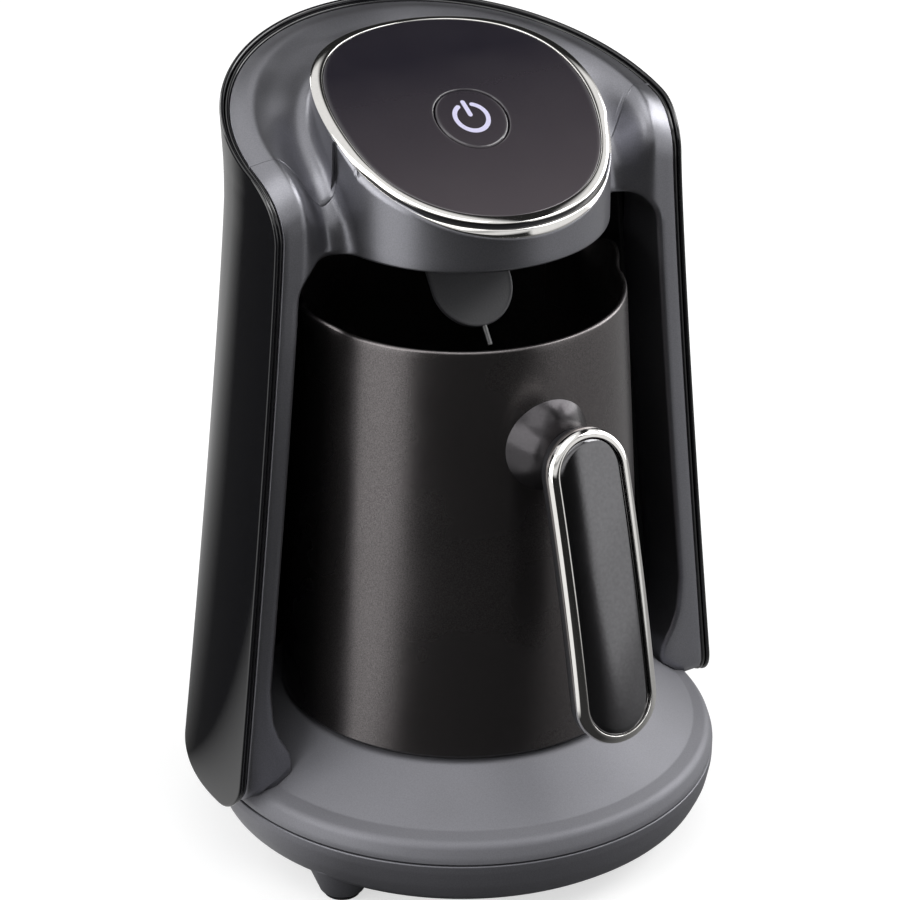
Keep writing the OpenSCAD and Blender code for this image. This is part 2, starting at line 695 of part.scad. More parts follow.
lip_round = 13;
lip_x = pot_rim_r - lip_round - 0.1;
lip_foot_r = 5;
lip_h = 34.5;
module lip(grow) for (s = [-1, 1]) translate([s * lip_x, 0, pot_rim_z - lip_h])
    cylinder(r1 = lip_foot_r + grow, r2 = lip_round + lip_out + grow, h = lip_h + lip_up);
module pot_solid(grow, lo, hi) translate([0, 0, lo])
    cylinder(r1 = pot_out(lo) + grow, r2 = pot_out(hi) + grow, h = hi - lo);
module at_pot_screws() for (a = pot_screw_a) rotate(a) translate([pot_r - 11.4, 0, 0]) children();
module pot_body() color("#3a3a3e") {
    pot_vessel();
    at_pot_screws() translate([0, 0, pot_z - slide_gap + pot_base_t + seat]) difference() {
        cylinder(r = 3, h = heater_h - pot_base_t);
        translate([0, 0, -1]) cylinder(r = pilot_r, h = 10);
    }
}
module pot_vessel() difference() {
    union() {
        pot_solid(0, pot_z + 0.5, pot_rim_z);
        intersection() {
            lip(0);
            union() {
                translate([0, 0, mid_z]) cylinder(r = far, h = pot_rim_z - mid_z);
                for (s = [-1, 1]) translate([s * (pot_rim_r + 1.7), 0, pot_rim_z - 82.5])
                    rotate([0, 0, 45]) cylinder(r1 = 60, r2 = 9, h = 90);
            }
        }
    }
    pot_solid(-pot_wall, pot_floor_z, pot_rim_z + lip_up + 1);
    translate([0, 0, 0.01]) lip(-pot_wall);
    translate([0, 0, pot_z - 1]) cylinder(r = pot_r - pot_wall * 1.3, h = heater_h + 1 - pot_wall);
    translate([-inlet_w / 2 - 0.4, inlet_y - 2, pin_z - inlet_h / 2 - 0.4])
        cube([inlet_w + 0.8, 30, inlet_h + 0.8]);
}

pot_base_t = 3;
module pot_base() color("#161618") difference() {
    translate([0, 0, pot_z - slide_gap]) cylinder(r = pot_r - pot_wall * 1.3 - seat, h = pot_base_t);
    at_pot_screws() translate([0, 0, pot_z - slide_gap - 1]) {
        cylinder(r = clear_r, h = pot_base_t + 2);
        cylinder(r = 3, h = 2.9);
    }
}
pot_screw_a = [0, 180, 270];
module pot_screws() color("gray") at_pot_screws() translate([0, 0, pot_z + 0.1]) screw(2.7, 1.4, 9);
plate_lo = pot_floor_z - pot_wall - 3.2;
plate_r = pot_r - 16.4;
element_r = pot_r - 25.4;
module heater_plate() color("silver") difference() {
    translate([0, 0, plate_lo]) cylinder(r = plate_r, h = 3.1);
    translate([0, 0, plate_lo - 1.2]) rotate_extrude() translate([element_r, 0]) circle(r = 3.1);
}
module heating_element() color("dimgray") translate([0, 0, plate_lo - 1.2]) rotate([0, 0, 105]) {
    rotate_extrude(angle = 330) translate([element_r, 0]) circle(r = 3);
    for (a = [0, 330]) rotate(a) translate([element_r, 0, 0]) rotate([a == 0 ? 90 : -90, 0, 0])
        cylinder(r = 1.6, h = 3);
}
module thermostat() color("khaki") translate([0, 0, plate_lo - 6.1]) {
    cylinder(r = 8, h = 6);
    translate([-12, -3, 2]) cube([24, 6, 1]);
}
module thermal_fuse() color("white") translate([16, -6, plate_lo - 2.2]) rotate([-90, 0, 0])
    cylinder(r = 2, h = 12);
inlet_w = 29.2;
inlet_h = 13.6;
inlet_y = pot_out(pin_z) - 14.9;
module pot_inlet() color("#202022") difference() {
    intersection() {
        translate([-inlet_w / 2, inlet_y, pin_z - inlet_h / 2]) cube([inlet_w, 30, inlet_h]);
        pot_solid(0, pot_z, pot_rim_z);
    }
    at_pins(inlet_y + 5) cylinder(r = pin_r + slide_gap, h = 30);
}
module pot_wires() color("firebrick") {
    bar([-8, inlet_y - 0.8, pin_z - 2], [-14, element_r + 1, pin_z - 2], 1);
    bar([8, inlet_y - 0.4, pin_z - 2], [9.5, 9, pin_z - 2], 1);
}
module pot_stud() color("silver") intersection() {
    translate([0, -pot_out(neck_z) + 0.1, neck_z]) rotate([90, 0, 0]) difference() {
        cylinder(r = 4, h = 8);
        translate([0, 0, 1.5]) cylinder(r = pilot_r, h = 9);
    }
    difference() {
        translate([-10, -90, mid_z]) cube([20, 80, high - mid_z]);
        pot_solid(0.05, pot_z, pot_rim_z);
    }
}

// ---- Handle

handle_top_y = pot_out(neck_z) + handle_reach;
module handle_frame_at() translate([0, -handle_top_y, handle_top_z]) rotate([-handle_a, 0, 0]) children();
module handle_outline(inset) stadium(handle_w / 2 - inset);
module stadium(r) {
    for (z = [-handle_w / 2, handle_w / 2 - handle_l]) translate([0, z]) circle(r = r);
    translate([-r, handle_w / 2 - handle_l]) square([2 * r, handle_l - handle_w]);
}
// Depths are counted forward from the handle's middle, and follow its bow
bow_steps = 16;
function bow(z) = handle_bow * (1 - pow(2 * z / handle_l + 1, 2));
module handle_depths(back, front) {
    zs = [for (i = [0:bow_steps]) bow_over - (handle_l + 2 * bow_over) * i / bow_steps];
    across(handle_w + 2 * bow_over) polygon(concat(
        [for (z = zs) [-front - bow(z), z]],
        [for (i = [bow_steps:-1:0]) [-back - bow(zs[i]), zs[i]]]));
}
module handle_slab(inset, back, front) intersection() {
    rotate([90, 0, 0]) linear_extrude(4 * handle_d, center = true) handle_outline(inset);
    handle_depths(back, front);
}
bow_over = 6;
frame_d = 2.4;
groove_d = 0.8;
band_d = 1.2;
front_d = handle_d / 2;
module handle_neck() color("#202022") difference() {
    translate([0, -pot_out(neck_z) + 3, neck_z]) rotate([90, 0, 0])
        cylinder(r1 = neck_flare_r, r2 = neck_r, h = 30);
    pot_solid(0.15, pot_z, pot_rim_z);
    handle_frame_at() handle_depths(-handle_d / 2 - 0.05, 4 * handle_d);
    translate([0, -pot_out(neck_z) + 4, neck_z]) rotate([90, 0, 0]) cylinder(r = 4.1, h = 12.2);
    translate([0, -40, neck_z]) rotate([90, 0, 0]) cylinder(r = clear_r, h = 50);
}
module handle_core() color("#202022") difference() {
    handle_frame_at() {
        handle_slab(0.4, -handle_d / 2, front_d - frame_d - groove_d - band_d);
        handle_slab(frame_w + 0.2, -handle_d / 2 + 1, front_d - frame_d);
    }
    translate([0, -40, neck_z]) rotate([90, 0, 0]) cylinder(r = clear_r, h = 50);
    translate([0, -handle_screw_y + 1.5 + seat, neck_z]) rotate([90, 0, 0]) cylinder(r = 3.1, h = 20);
}
handle_screw_y = handle_top_y + (handle_top_z - neck_z) * tan(handle_a) + 1.6;
module handle_band() color("gainsboro") handle_frame_at() difference() {
    handle_slab(0, front_d - frame_d - groove_d - band_d + 0.05, front_d - frame_d - groove_d);
    handle_slab(frame_w + 0.1, -handle_d, handle_d);
}
module handle_frame() color("gainsboro") handle_frame_at() difference() {
    handle_slab(0, front_d - frame_d + 0.05, front_d);
    handle_slab(frame_w, -handle_d, handle_d);
}
module handle_insert() color("black") handle_frame_at()
    handle_slab(frame_w + 0.1, front_d - frame_d + 0.1, front_d - 0.4);
module handle_screw() color("gray") translate([0, -handle_screw_y, neck_z]) rotate([-90, 0, 0])
    screw(2.8, 1.4, handle_screw_y - 1.4 - pot_out(neck_z) - 1.9);

base_pan();
base_cover();
foot_pads();
base_screws();
cord_gland();
power_board();
board_relay();
board_capacitor();
board_transformer();
terminal_block();
column_frame();
frame_screws();
rear_shell();
shell_screws();
chamber_liner();
chamber_ceiling();
top_cover();
wiring_harness();
head_housing();
head_underside();
head_screws();
front_trim();
panel_ring();
top_panel();
button_cap();
button_symbol();
button_spring();
button_holder();
control_board();
board_screws();
tact_switch();
indicator_led();
buzzer();
sensor_tongue();
sensor_probe();
sensor_mount();
sensor_board();
power_socket();
power_pins();
pot_body();
pot_base();
pot_screws();
heater_plate();
heating_element();
thermostat();
thermal_fuse();
pot_inlet();
pot_wires();
pot_stud();
handle_neck();
handle_core();
handle_band();
handle_frame();
handle_insert();
handle_screw();
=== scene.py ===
import math

import bmesh
import bpy
import numpy as np
from mathutils import Matrix


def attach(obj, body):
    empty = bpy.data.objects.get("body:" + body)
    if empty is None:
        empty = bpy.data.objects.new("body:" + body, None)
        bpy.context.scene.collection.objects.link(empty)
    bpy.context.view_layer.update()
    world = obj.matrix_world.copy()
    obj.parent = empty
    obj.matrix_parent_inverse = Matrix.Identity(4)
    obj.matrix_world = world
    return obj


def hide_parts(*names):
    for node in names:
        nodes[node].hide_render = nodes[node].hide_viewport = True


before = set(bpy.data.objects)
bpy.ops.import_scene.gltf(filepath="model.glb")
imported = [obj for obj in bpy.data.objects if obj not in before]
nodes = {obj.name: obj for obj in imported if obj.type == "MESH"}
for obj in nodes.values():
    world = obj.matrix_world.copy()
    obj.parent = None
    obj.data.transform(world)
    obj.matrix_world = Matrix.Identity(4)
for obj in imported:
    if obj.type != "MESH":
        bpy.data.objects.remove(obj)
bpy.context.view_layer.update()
MM = 0.001

# ---------------------------------------------------------------- camera
CAMERA_AT = (-545.2, -932.4, 650.7)
CAMERA_RIGHT = (0.86497, -0.50184, 0.0)
CAMERA_BACK = (-0.45143, -0.77810, 0.43664)
LENS_MM = 154.44


def new_object(name, data):
    made = bpy.data.objects.new(name, data)
    bpy.context.scene.collection.objects.link(made)
    return made


def aim(made, place, right, back):
    """Puts a camera or a lamp, which looks away from back, in its place."""
    up = np.cross(back, right)
    made.matrix_world = Matrix([(right[k], up[k], back[k], place[k]) for k in range(3)] + [(0, 0, 0, 1)])


def set_camera():
    data = bpy.data.cameras.new("camera")
    data.lens = LENS_MM
    data.sensor_width = 36
    data.clip_end = 30
    camera = new_object("camera", data)
    aim(camera, np.array(CAMERA_AT) * MM, np.array(CAMERA_RIGHT), np.array(CAMERA_BACK))
    bpy.context.scene.camera = camera


set_camera()


# ---------------------------------------------------------------- shader groups and finishes
def link(tree, value, socket):
    if isinstance(value, bpy.types.NodeSocket):
        tree.links.new(value, socket)
    else:
        socket.default_value = value


def add(tree, kind, inputs=None, **settings):
    made = tree.nodes.new(kind)
    for name, value in settings.items():
        setattr(made, name, value)
    for name, value in (inputs or {}).items():
        link(tree, value, made.inputs[name])
    return made


def calc(tree, operation, a, b=0.0, clamp=False):
    made = tree.nodes.new("ShaderNodeMath")
    made.operation = operation
    made.use_clamp = clamp
    link(tree, a, made.inputs[0])
    link(tree, b, made.inputs[1])
    return made.outputs[0]


def times(tree, *values):
    result = values[0]
    for value in values[1:]:
        result = calc(tree, "MULTIPLY", result, value)
    return result


def largest(tree, *values):
    result = values[0]
    for value in values[1:]:
        result = calc(tree, "MAXIMUM", result, value)
    return result


def mixed(tree, factor, a, b):
    made = tree.nodes.new("ShaderNodeMix")
    made.data_type = "RGBA"
    link(tree, factor, made.inputs[0])
    link(tree, a, made.inputs[6])
    link(tree, b, made.inputs[7])
    return made.outputs[2]


def ranged(tree, value, low, high, start=0.0, end=1.0):
    made = add(tree, "ShaderNodeMapRange", {"Value": value, "From Min": start, "From Max": end,
                                            "To Min": low, "To Max": high})
    return made.outputs[0]


def new_group(name, inputs, outputs):
    tree = bpy.data.node_groups.new(name, "ShaderNodeTree")
    for label, default in inputs:
        socket = tree.interface.new_socket(name=label, in_out="INPUT", socket_type="NodeSocketFloat")
        socket.default_value = default
    for label in outputs:
        tree.interface.new_socket(name=label, in_out="OUTPUT", socket_type="NodeSocketFloat")
    return tree, tree.nodes.new("NodeGroupInput"), tree.nodes.new("NodeGroupOutput")


def object_place(tree):
    return tree.nodes.new("ShaderNodeTexCoord").outputs["Object"]


def axes(tree, vector):
    """The X, Y and Z of a vector."""
    return add(tree, "ShaderNodeSeparateXYZ", {"Vector": vector}).outputs


def noise(tree, scale, detail):
    made = add(tree, "ShaderNodeTexNoise", {"Vector": object_place(tree), "Scale": scale, "Detail": detail})
    return made.outputs["Fac"]


def make_moulded_grain():
    """Fine moulded or sprayed grain, with a broad cloud under it."""
    tree, given, result = new_group("moulded_grain", [("Scale", 1500.0), ("Cloud Scale", 20.0)],
                                    ["Grain", "Cloud"])
    fine = noise(tree, given.outputs["Scale"], 2.0)
    broad = noise(tree, given.outputs["Cloud Scale"], 3.0)
    tree.links.new(ranged(tree, fine, 0.0, 1.0, 0.3, 0.7), result.inputs["Grain"])
    tree.links.new(ranged(tree, broad, 0.0, 1.0, 0.3, 0.7), result.inputs["Cloud"])
    return tree


def make_settled_dust():
    """Thin dust that lies on what faces up, in soft patches."""
    tree, given, result = new_group("settled_dust", [("Amount", 0.05)], ["Dust"])
    normal = tree.nodes.new("ShaderNodeNewGeometry").outputs["Normal"]
    facing = ranged(tree, axes(tree, normal)["Z"], 0.0, 1.0, 0.3, 1.0)
    soft = ranged(tree, noise(tree, 60.0, 5.0), 0.0, 1.0, 0.42, 0.75)
    tree.links.new(times(tree, facing, soft, given.outputs["Amount"]), result.inputs["Dust"])
    return tree


def make_rubbed_edge():
    """Mask of outer edges that hands and cloths rub."""
    tree, given, result = new_group("rubbed_edge", [("Amount", 0.5)], ["Edge"])
    point = tree.nodes.new("ShaderNodeNewGeometry").outputs["Pointiness"]
    edge = ranged(tree, point, 0.0, 1.0, 0.53, 0.6)
    patchy = ranged(tree, noise(tree, 180.0, 4.0), 0.3, 1.0, 0.35, 0.6)
    tree.links.new(times(tree, edge, patchy, given.outputs["Amount"]), result.inputs["Edge"])
    return tree


def make_metal_flake():
    """Tiny bright flakes in a dark coat."""
    tree, given, result = new_group("metal_flake", [("Scale", 1600.0), ("Share", 0.2)], ["Flake", "Tilt"])
    cells = add(tree, "ShaderNodeTexVoronoi", {"Vector": object_place(tree), "Scale": given.outputs["Scale"]})
    parts = add(tree, "ShaderNodeSeparateColor", {"Color": cells.outputs["Color"]})
    limit = calc(tree, "SUBTRACT", 1.0, given.outputs["Share"])
    flake = calc(tree, "GREATER_THAN", parts.outputs[0], limit)
    tree.links.new(flake, result.inputs["Flake"])
    tree.links.new(parts.outputs[1], result.inputs["Tilt"])
    return tree


GRAIN = make_moulded_grain()
DUST = make_settled_dust()
EDGE = make_rubbed_edge()
FLAKE = make_metal_flake()
DUST_COLOUR = (0.34, 0.33, 0.31, 1)
EDGE_COLOUR = (0.5, 0.5, 0.52, 1)
FLAKE_COLOUR = (0.16, 0.15, 0.145, 1)
FLAKE_SCALE = 3600.0
FLAKE_STRENGTH = 0.30
CLOUD_SCALE = 18.0
DUST_ROUGHNESS = 1.5
# painted sheen: the colour the panel's lacquer is painted toward at its front edge, standing in for light
PAINTED_SHEEN_COLOUR = (0.074, 0.064, 0.071, 1)
TURNED_COLOUR = (0.25, 0.25, 0.25, 1)


def placed(tree, group, **inputs):
    made = tree.nodes.new("ShaderNodeGroup")
    made.node_tree = group
    for name, value in inputs.items():
        link(tree, value, made.inputs[name.replace("_", " ")])
    return made


def shade(colour, share):
    return tuple(min(1.0, c * share) for c in colour[:3]) + (1,)


def finish(name, colour, rough, metal=0.0, coat=0.0, coat_rough=0.04, scale=1500.0, tone=0.1,
           spread=0.05, depth=0.02, dust=0.04, edge=0.0, specular=0.5, flake=0.0, extra=None):
    """A moulded, painted, plated or turned finish with grain, cloudy gloss, dust and rubbed edges."""
    material = bpy.data.materials.new(name)
    material.use_nodes = True
    tree = material.node_tree
    shader = tree.nodes["Principled BSDF"]
    grain = placed(tree, GRAIN, Scale=scale, Cloud_Scale=CLOUD_SCALE)
    dusty = placed(tree, DUST, Amount=dust).outputs["Dust"]
    colour = mixed(tree, grain.outputs["Grain"], shade(colour, 1 - tone), shade(colour, 1 + tone))
    if extra:
        colour = extra(tree, colour)
    if flake:
        sparkle = placed(tree, FLAKE, Scale=FLAKE_SCALE, Share=flake).outputs
        lit = times(tree, sparkle["Flake"], sparkle["Tilt"], FLAKE_STRENGTH)
        colour = mixed(tree, lit, colour, FLAKE_COLOUR)
    if edge:
        colour = mixed(tree, placed(tree, EDGE, Amount=edge).outputs["Edge"], colour, EDGE_COLOUR)
    colour = mixed(tree, dusty, colour, DUST_COLOUR)
    tree.links.new(colour, shader.inputs["Base Color"])
    gloss = ranged(tree, grain.outputs["Cloud"], max(0.02, rough - spread), rough + spread)
    gloss = calc(tree, "ADD", gloss, times(tree, dusty, DUST_ROUGHNESS), clamp=True)
    tree.links.new(gloss, shader.inputs["Roughness"])
    for socket, value in (("Metallic", metal), ("Specular IOR Level", specular), ("Coat Weight", coat),
                          ("Coat Roughness", coat_rough)):
        shader.inputs[socket].default_value = value
    height = grain.outputs["Grain"]
    if flake:
        height = calc(tree, "ADD", height, times(tree, sparkle["Tilt"], 0.5))
    bump = add(tree, "ShaderNodeBump", {"Height": height, "Strength": 1.0, "Distance": depth * MM})
    tree.links.new(bump.outputs["Normal"], shader.inputs["Normal"])
    return material


def painted_front_sheen(tree, colour):
    """Painted sheen: the panel's lacquer is painted warmer and lighter toward its front edge, standing in for
    the light it catches there.
    """
    nearness = ranged(tree, axes(tree, object_place(tree))["Y"], 1.0, 0.0, -0.042, 0.02)
    return mixed(tree, nearness, colour, PAINTED_SHEEN_COLOUR)


def turned_lines(tree, colour):
    """Faint turning marks, as on a spun or machined metal piece."""
    rings = add(tree, "ShaderNodeTexWave", {"Vector": object_place(tree), "Scale": 900.0, "Distortion": 1.5},
                wave_type="RINGS", rings_direction="Z")
    return mixed(tree, times(tree, rings.outputs["Fac"], 0.25), colour, TURNED_COLOUR)


FINISH = {
    "grey_satin": finish("satin_grey_paint", (0.262, 0.262, 0.285, 1), 0.35, metal=0.94, scale=2600,
                         tone=0.10, depth=0.006, dust=0.03),
    "base_grey": finish("satin_base_paint", (0.190, 0.190, 0.208, 1), 0.50, metal=0.40, scale=2600, tone=0.08,
                        depth=0.006, dust=0.04, specular=0.35),
    "pan_grey": finish("satin_pan_paint", (0.17, 0.17, 0.187, 1), 0.45, metal=0.70, scale=2400, tone=0.1,
                       depth=0.008, dust=0.03),
    "shell_black": finish("gloss_black_shell", (0.0045, 0.0045, 0.0055, 1), 0.10, coat=0.6, coat_rough=0.03,
                          scale=700, tone=0.2, spread=0.03, depth=0.003, dust=0.012, edge=0.05),
    # real liner, painted near-black: painted shade standing in for the shadow inside the chamber and under
    # the head
    "liner_black": finish("matt_liner_painted_shade", (0.0035, 0.0035, 0.0042, 1), 0.55, scale=2000, tone=0.2,
                          depth=0.02, dust=0.004, specular=0.25),
    "chrome": finish("warm_chrome", (0.80, 0.785, 0.76, 1), 0.075, metal=1.0, scale=900, tone=0.02,
                     spread=0.025, depth=0.001, dust=0.02),
    # the panel's lacquer carries a painted sheen, lighter and warmer toward its front edge
    "panel_gloss": finish("aubergine_lacquer_painted_sheen", (0.0170, 0.0150, 0.0215, 1), 0.10, coat=0.5, coat_rough=0.03,
                          scale=1200, tone=0.12, spread=0.03, depth=0.002, dust=0.012, extra=painted_front_sheen),
    "symbol_white": finish("lavender_white_print", (0.62, 0.60, 0.80, 1), 0.35, scale=1800, tone=0.05,
                           depth=0.004, dust=0.01),
    "rubber_black": finish("foot_rubber", (0.012, 0.012, 0.013, 1), 0.75, scale=1600, tone=0.25, depth=0.05,
                           dust=0.15, specular=0.3),
    "silicone_grey": finish("grey_silicone", (0.050, 0.050, 0.055, 1), 0.45, scale=1900, tone=0.12,
                            depth=0.012, dust=0.03),
    "steel": finish("bright_steel", (0.52, 0.51, 0.50, 1), 0.24, metal=1.0, scale=1200, tone=0.08,
                    depth=0.004, extra=turned_lines),
    "zinc": finish("zinc_plate", (0.50, 0.51, 0.49, 1), 0.38, metal=1.0, scale=500, tone=0.15, spread=0.1,
                   depth=0.01),
    "aluminium": finish("cast_aluminium", (0.56, 0.56, 0.57, 1), 0.45, metal=1.0, scale=700, tone=0.12,
                        depth=0.03, extra=turned_lines),
    "brass": finish("contact_brass", (0.62, 0.42, 0.16, 1), 0.22, metal=1.0, scale=900, tone=0.12,
                    depth=0.004),
    "board_green": finish("board_resin", (0.018, 0.11, 0.045, 1), 0.35, scale=350, tone=0.25, depth=0.02),
    "relay_blue": finish("relay_case", (0.02, 0.09, 0.32, 1), 0.35, scale=1000, depth=0.01),
    "capacitor_brown": finish("capacitor_sleeve", (0.10, 0.045, 0.02, 1), 0.30, scale=1000, depth=0.008),
    "core_yellow": finish("wound_core_tape", (0.52, 0.36, 0.06, 1), 0.40, scale=500, tone=0.2, depth=0.02),
    "terminal_white": finish("terminal_nylon", (0.55, 0.55, 0.52, 1), 0.45, scale=1200, depth=0.01),
    "ceramic_white": finish("fired_ceramic", (0.60, 0.58, 0.53, 1), 0.50, scale=900, depth=0.02),
    "wire_red": finish("wire_jacket", (0.30, 0.018, 0.015, 1), 0.42, scale=1200, depth=0.008),
    "moulded_black": finish("satin_black_moulding", (0.011, 0.011, 0.013, 1), 0.36, scale=1900, tone=0.2,
                            depth=0.012, dust=0.015, specular=0.5),
    "pot_charcoal": finish("charcoal_flake_coat", (0.150, 0.139, 0.140, 1), 0.27, metal=0.96, scale=2600,
                           tone=0.30, depth=0.005, dust=0.004, flake=0.35),
    "neck_black": finish("polished_neck_moulding", (0.050, 0.047, 0.050, 1), 0.24, metal=0.85, scale=1900,
                         tone=0.15, depth=0.006, dust=0.004),
    "probe_steel": finish("dull_probe_steel", (0.10, 0.10, 0.10, 1), 0.35, metal=1.0, scale=900, depth=0.004),
    "insert_black": finish("smoked_insert_plate", (0.165, 0.163, 0.170, 1), 0.12, metal=1.0, coat=0.6,
                           coat_rough=0.04, scale=900, tone=0.08, spread=0.03, depth=0.002, dust=0.004),
}


# ---------------------------------------------------------------- sheets, turned forms and pieces
def smooth(t):
    t = np.clip(t, 0, 1)
    return t * t * (3 - 2 * t)


def sheet(points, wrap=False):
    """Quads over points[row, column]."""
    rows, cols = points.shape[:2]
    index = np.arange(rows * cols).reshape(rows, cols)
    left = index if wrap else index[:, :-1]
    right = np.roll(index, -1, axis=1) if wrap else index[:, 1:]
    quads = np.stack([left[:-1], right[:-1], right[1:], left[1:]], axis=-1).reshape(-1, 4)
    return points.reshape(-1, 3), quads.tolist()


def around(radius, angle, z):
    """Points at a radius and an angle about Z."""
    return np.stack(np.broadcast_arrays(radius * np.cos(angle), radius * np.sin(angle), z), axis=-1)


def full_turn(steps):
    return np.linspace(0, 2 * math.pi, steps, endpoint=False)


def mirrored(part):
    points, faces = part
    return points * (-1, 1, 1), [face[::-1] for face in faces]


def piece(name, parts, body, slot, stands_for=(), coat=None, close=0.0, smooth_limit=50, up=True):
    """One object from sheets in millimetres: welded, turned outward, and thickened where it is open."""
    points = []
    faces = []
    for part_points, part_faces in parts:
        base = len(points)
        points.extend((np.asarray(part_points) * MM).tolist())
        faces.extend([[base + i for i in face] for face in part_faces])
    mesh = bpy.data.meshes.new(name)
    mesh.from_pydata(points, [], faces)
    shape = bmesh.new()
    shape.from_mesh(mesh)
    bmesh.ops.remove_doubles(shape, verts=shape.verts, dist=0.003 * MM)
    bmesh.ops.dissolve_degenerate(shape, edges=shape.edges, dist=1e-7)
    bmesh.ops.recalc_face_normals(shape, faces=shape.faces)
    if up:
        top = max(shape.faces, key=lambda f: f.calc_center_median().z + 0.002 * abs(f.normal.z))
        if top.normal.z < 0:
            bmesh.ops.reverse_faces(shape, faces=shape.faces)
    for edge in shape.edges:
        edge.smooth = edge.calc_face_angle(0.0) < math.radians(smooth_limit)
    for face in shape.faces:
        face.smooth = True
    shape.to_mesh(mesh)
    shape.free()
    made = new_object(name, mesh)
    if close:
        thick = made.modifiers.new("wall", "SOLIDIFY")
        thick.thickness = close * MM
        thick.offset = -1
    mesh.materials.append(FINISH[coat or slot])
    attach(made, body)
    if stands_for:
        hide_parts(*stands_for)
    return made


def rounded(corners, closed=True, step=14):
    """Points of a polygon whose corners (x, y, radius) are rounded."""
    result = []
    count = len(corners)
    for i, (x, y, radius) in enumerate(corners):
        here = np.array([x, y], float)
        if radius <= 0 or (not closed and i in (0, count - 1)):
            result.append(here)
            continue
        to_last = np.array(corners[i - 1][:2], float) - here
        to_next = np.array(corners[(i + 1) % count][:2], float) - here
        span_last = np.linalg.norm(to_last)
        span_next = np.linalg.norm(to_next)
        to_last /= span_last
        to_next /= span_next
        half = math.acos(float(np.clip(to_last @ to_next, -1, 1))) / 2
        reach = min(radius / math.tan(half), 0.48 * span_last, 0.48 * span_next)
        radius = reach * math.tan(half)
        middle = to_last + to_next
        centre = here + middle / np.linalg.norm(middle) * radius / math.sin(half)
        start = here + to_last * reach - centre
        end = here + to_next * reach - centre
        a = math.atan2(start[1], start[0])
        turn = (math.atan2(end[1], end[0]) - a + math.pi) % (2 * math.pi) - math.pi
        steps = max(2, math.ceil(abs(math.degrees(turn)) / step))
        for k in range(steps + 1):
            b = a + turn * k / steps
            result.append(centre + radius * np.array([math.cos(b), math.sin(b)]))
    return np.array(result)


def turned(profile, steps, at=(0, 0)):
    """A profile of (radius, height) turned about Z."""
    profile = np.vstack([profile, profile[:1]])
    return sheet(around(profile[:, :1], full_turn(steps), profile[:, 1:]) + (*at, 0), wrap=True)


def looped(loops):
    """A solid through closed loops with as many points each, capped at both ends."""
    points, faces = sheet(np.array(loops), wrap=True)
    count = len(loops[0])
    total = len(points)
    return points, faces + [list(range(count))[::-1], list(range(total - count, total))]


def through(points, count):
    """A smooth curve through points."""
    p = np.array(points, float)
    p = np.vstack([2 * p[0] - p[1], p, 2 * p[-1] - p[-2]])
    result = []
    for s in np.linspace(0, len(points) - 1 - 1e-9, count):
        i = int(s)
        t = s - i
        a, b, c, d = p[i:i + 4]
        result.append(0.5 * (2 * b + (c - a) * t + (2 * a - 5 * b + 4 * c - d) * t ** 2
                             + (3 * b - a - 3 * c + d) * t ** 3))
    return np.array(result)


def along(path, share):
    """Points of a polyline at shares of its length."""
    path = np.asarray(path)
    length = np.concatenate([[0], np.cumsum(np.linalg.norm(np.diff(path, axis=0), axis=1))])
    return np.stack([np.interp(np.asarray(share) * length[-1], length, path[:, k])
                     for k in range(path.shape[1])], axis=-1)


# ---------------------------------------------------------------- shared lines of the body
WAIST_R = 68.6
FRONT_Y = -13.0
RIM_Z = 231.3
RIM_DEGREES = 15.5
RIM_SLOPE = math.tan(math.radians(RIM_DEGREES))
BROW_R = 18.0
BROW_Y = FRONT_Y + BROW_R
KNEE_Y = BROW_Y - BROW_R * math.sin(math.radians(RIM_DEGREES))
BROW_Z = RIM_Z + KNEE_Y * RIM_SLOPE - BROW_R * math.cos(math.radians(RIM_DEGREES))
COLUMN_T = 6.2
HEAD_R = 44.6
POT_R = 57.4
POT_RIM_R = 50.3
POT_Z = 48.2
POT_RIM_Z = 182.5
TOP_KNEE = (-10.0, 236.2)
TOP_SIN = math.sin(math.radians(32.6))
TOP_COS = math.cos(math.radians(32.6))
TOP_FRONT_R = 142.0
TOP_BACK_R = 113.0


def body_r(z):
    low = np.maximum(0, (215 - z) / 175)
    return WAIST_R + 16 * low ** 1.15 + 0.05 * np.maximum(0, z - 225)


def top_z(y):
    """Side view of the head's top: hollow in front, crowned behind."""
    y = np.asarray(y, float)
    radius = np.where(y < TOP_KNEE[0], -TOP_FRONT_R, TOP_BACK_R)
    rise = TOP_SIN - (y - TOP_KNEE[0]) / radius
    return TOP_KNEE[1] + (np.sqrt(1 - rise ** 2) - TOP_COS) * radius


def trim_line(y):
    return 215 + (np.asarray(y) + 45.5) * math.tan(math.radians(29.2))


def skirt_top(y):
    return np.minimum(trim_line(y) - 0.1, top_z(y) - 1.75)


def brow_path(rise, low, end_y):
    """Side view of the front face, the brow and the rim line, up to end_y."""
    last = 90 + RIM_DEGREES
    if end_y < KNEE_Y:
        last = math.degrees(math.acos(np.clip((end_y - BROW_Y) / BROW_R, -1, 1)))
    angles = np.radians(np.linspace(180, last, 20))
    arc = np.stack([BROW_Y + BROW_R * np.cos(angles), BROW_Z + rise + BROW_R * np.sin(angles)], axis=-1)
    path = [[FRONT_Y, low], *arc.tolist()]
    if end_y > KNEE_Y:
        path.append([end_y, RIM_Z + rise + RIM_SLOPE * end_y])
    return np.array(path)


def brow_height(y):
    y = np.asarray(y, float)
    arc = BROW_Z + np.sqrt(np.maximum(0, BROW_R ** 2 - (np.minimum(y, BROW_Y) - BROW_Y) ** 2))
    return np.where(y < KNEE_Y, arc, RIM_Z + RIM_SLOPE * y)


VALLEY = through([(-7.4, 203.6), (-7.3, 208.0), (-4.9, 216.2), (2.2, 225.2), (14, 232.2), (24, 237.6),
                  (34, 242.0), (52, 247.4)], 240)


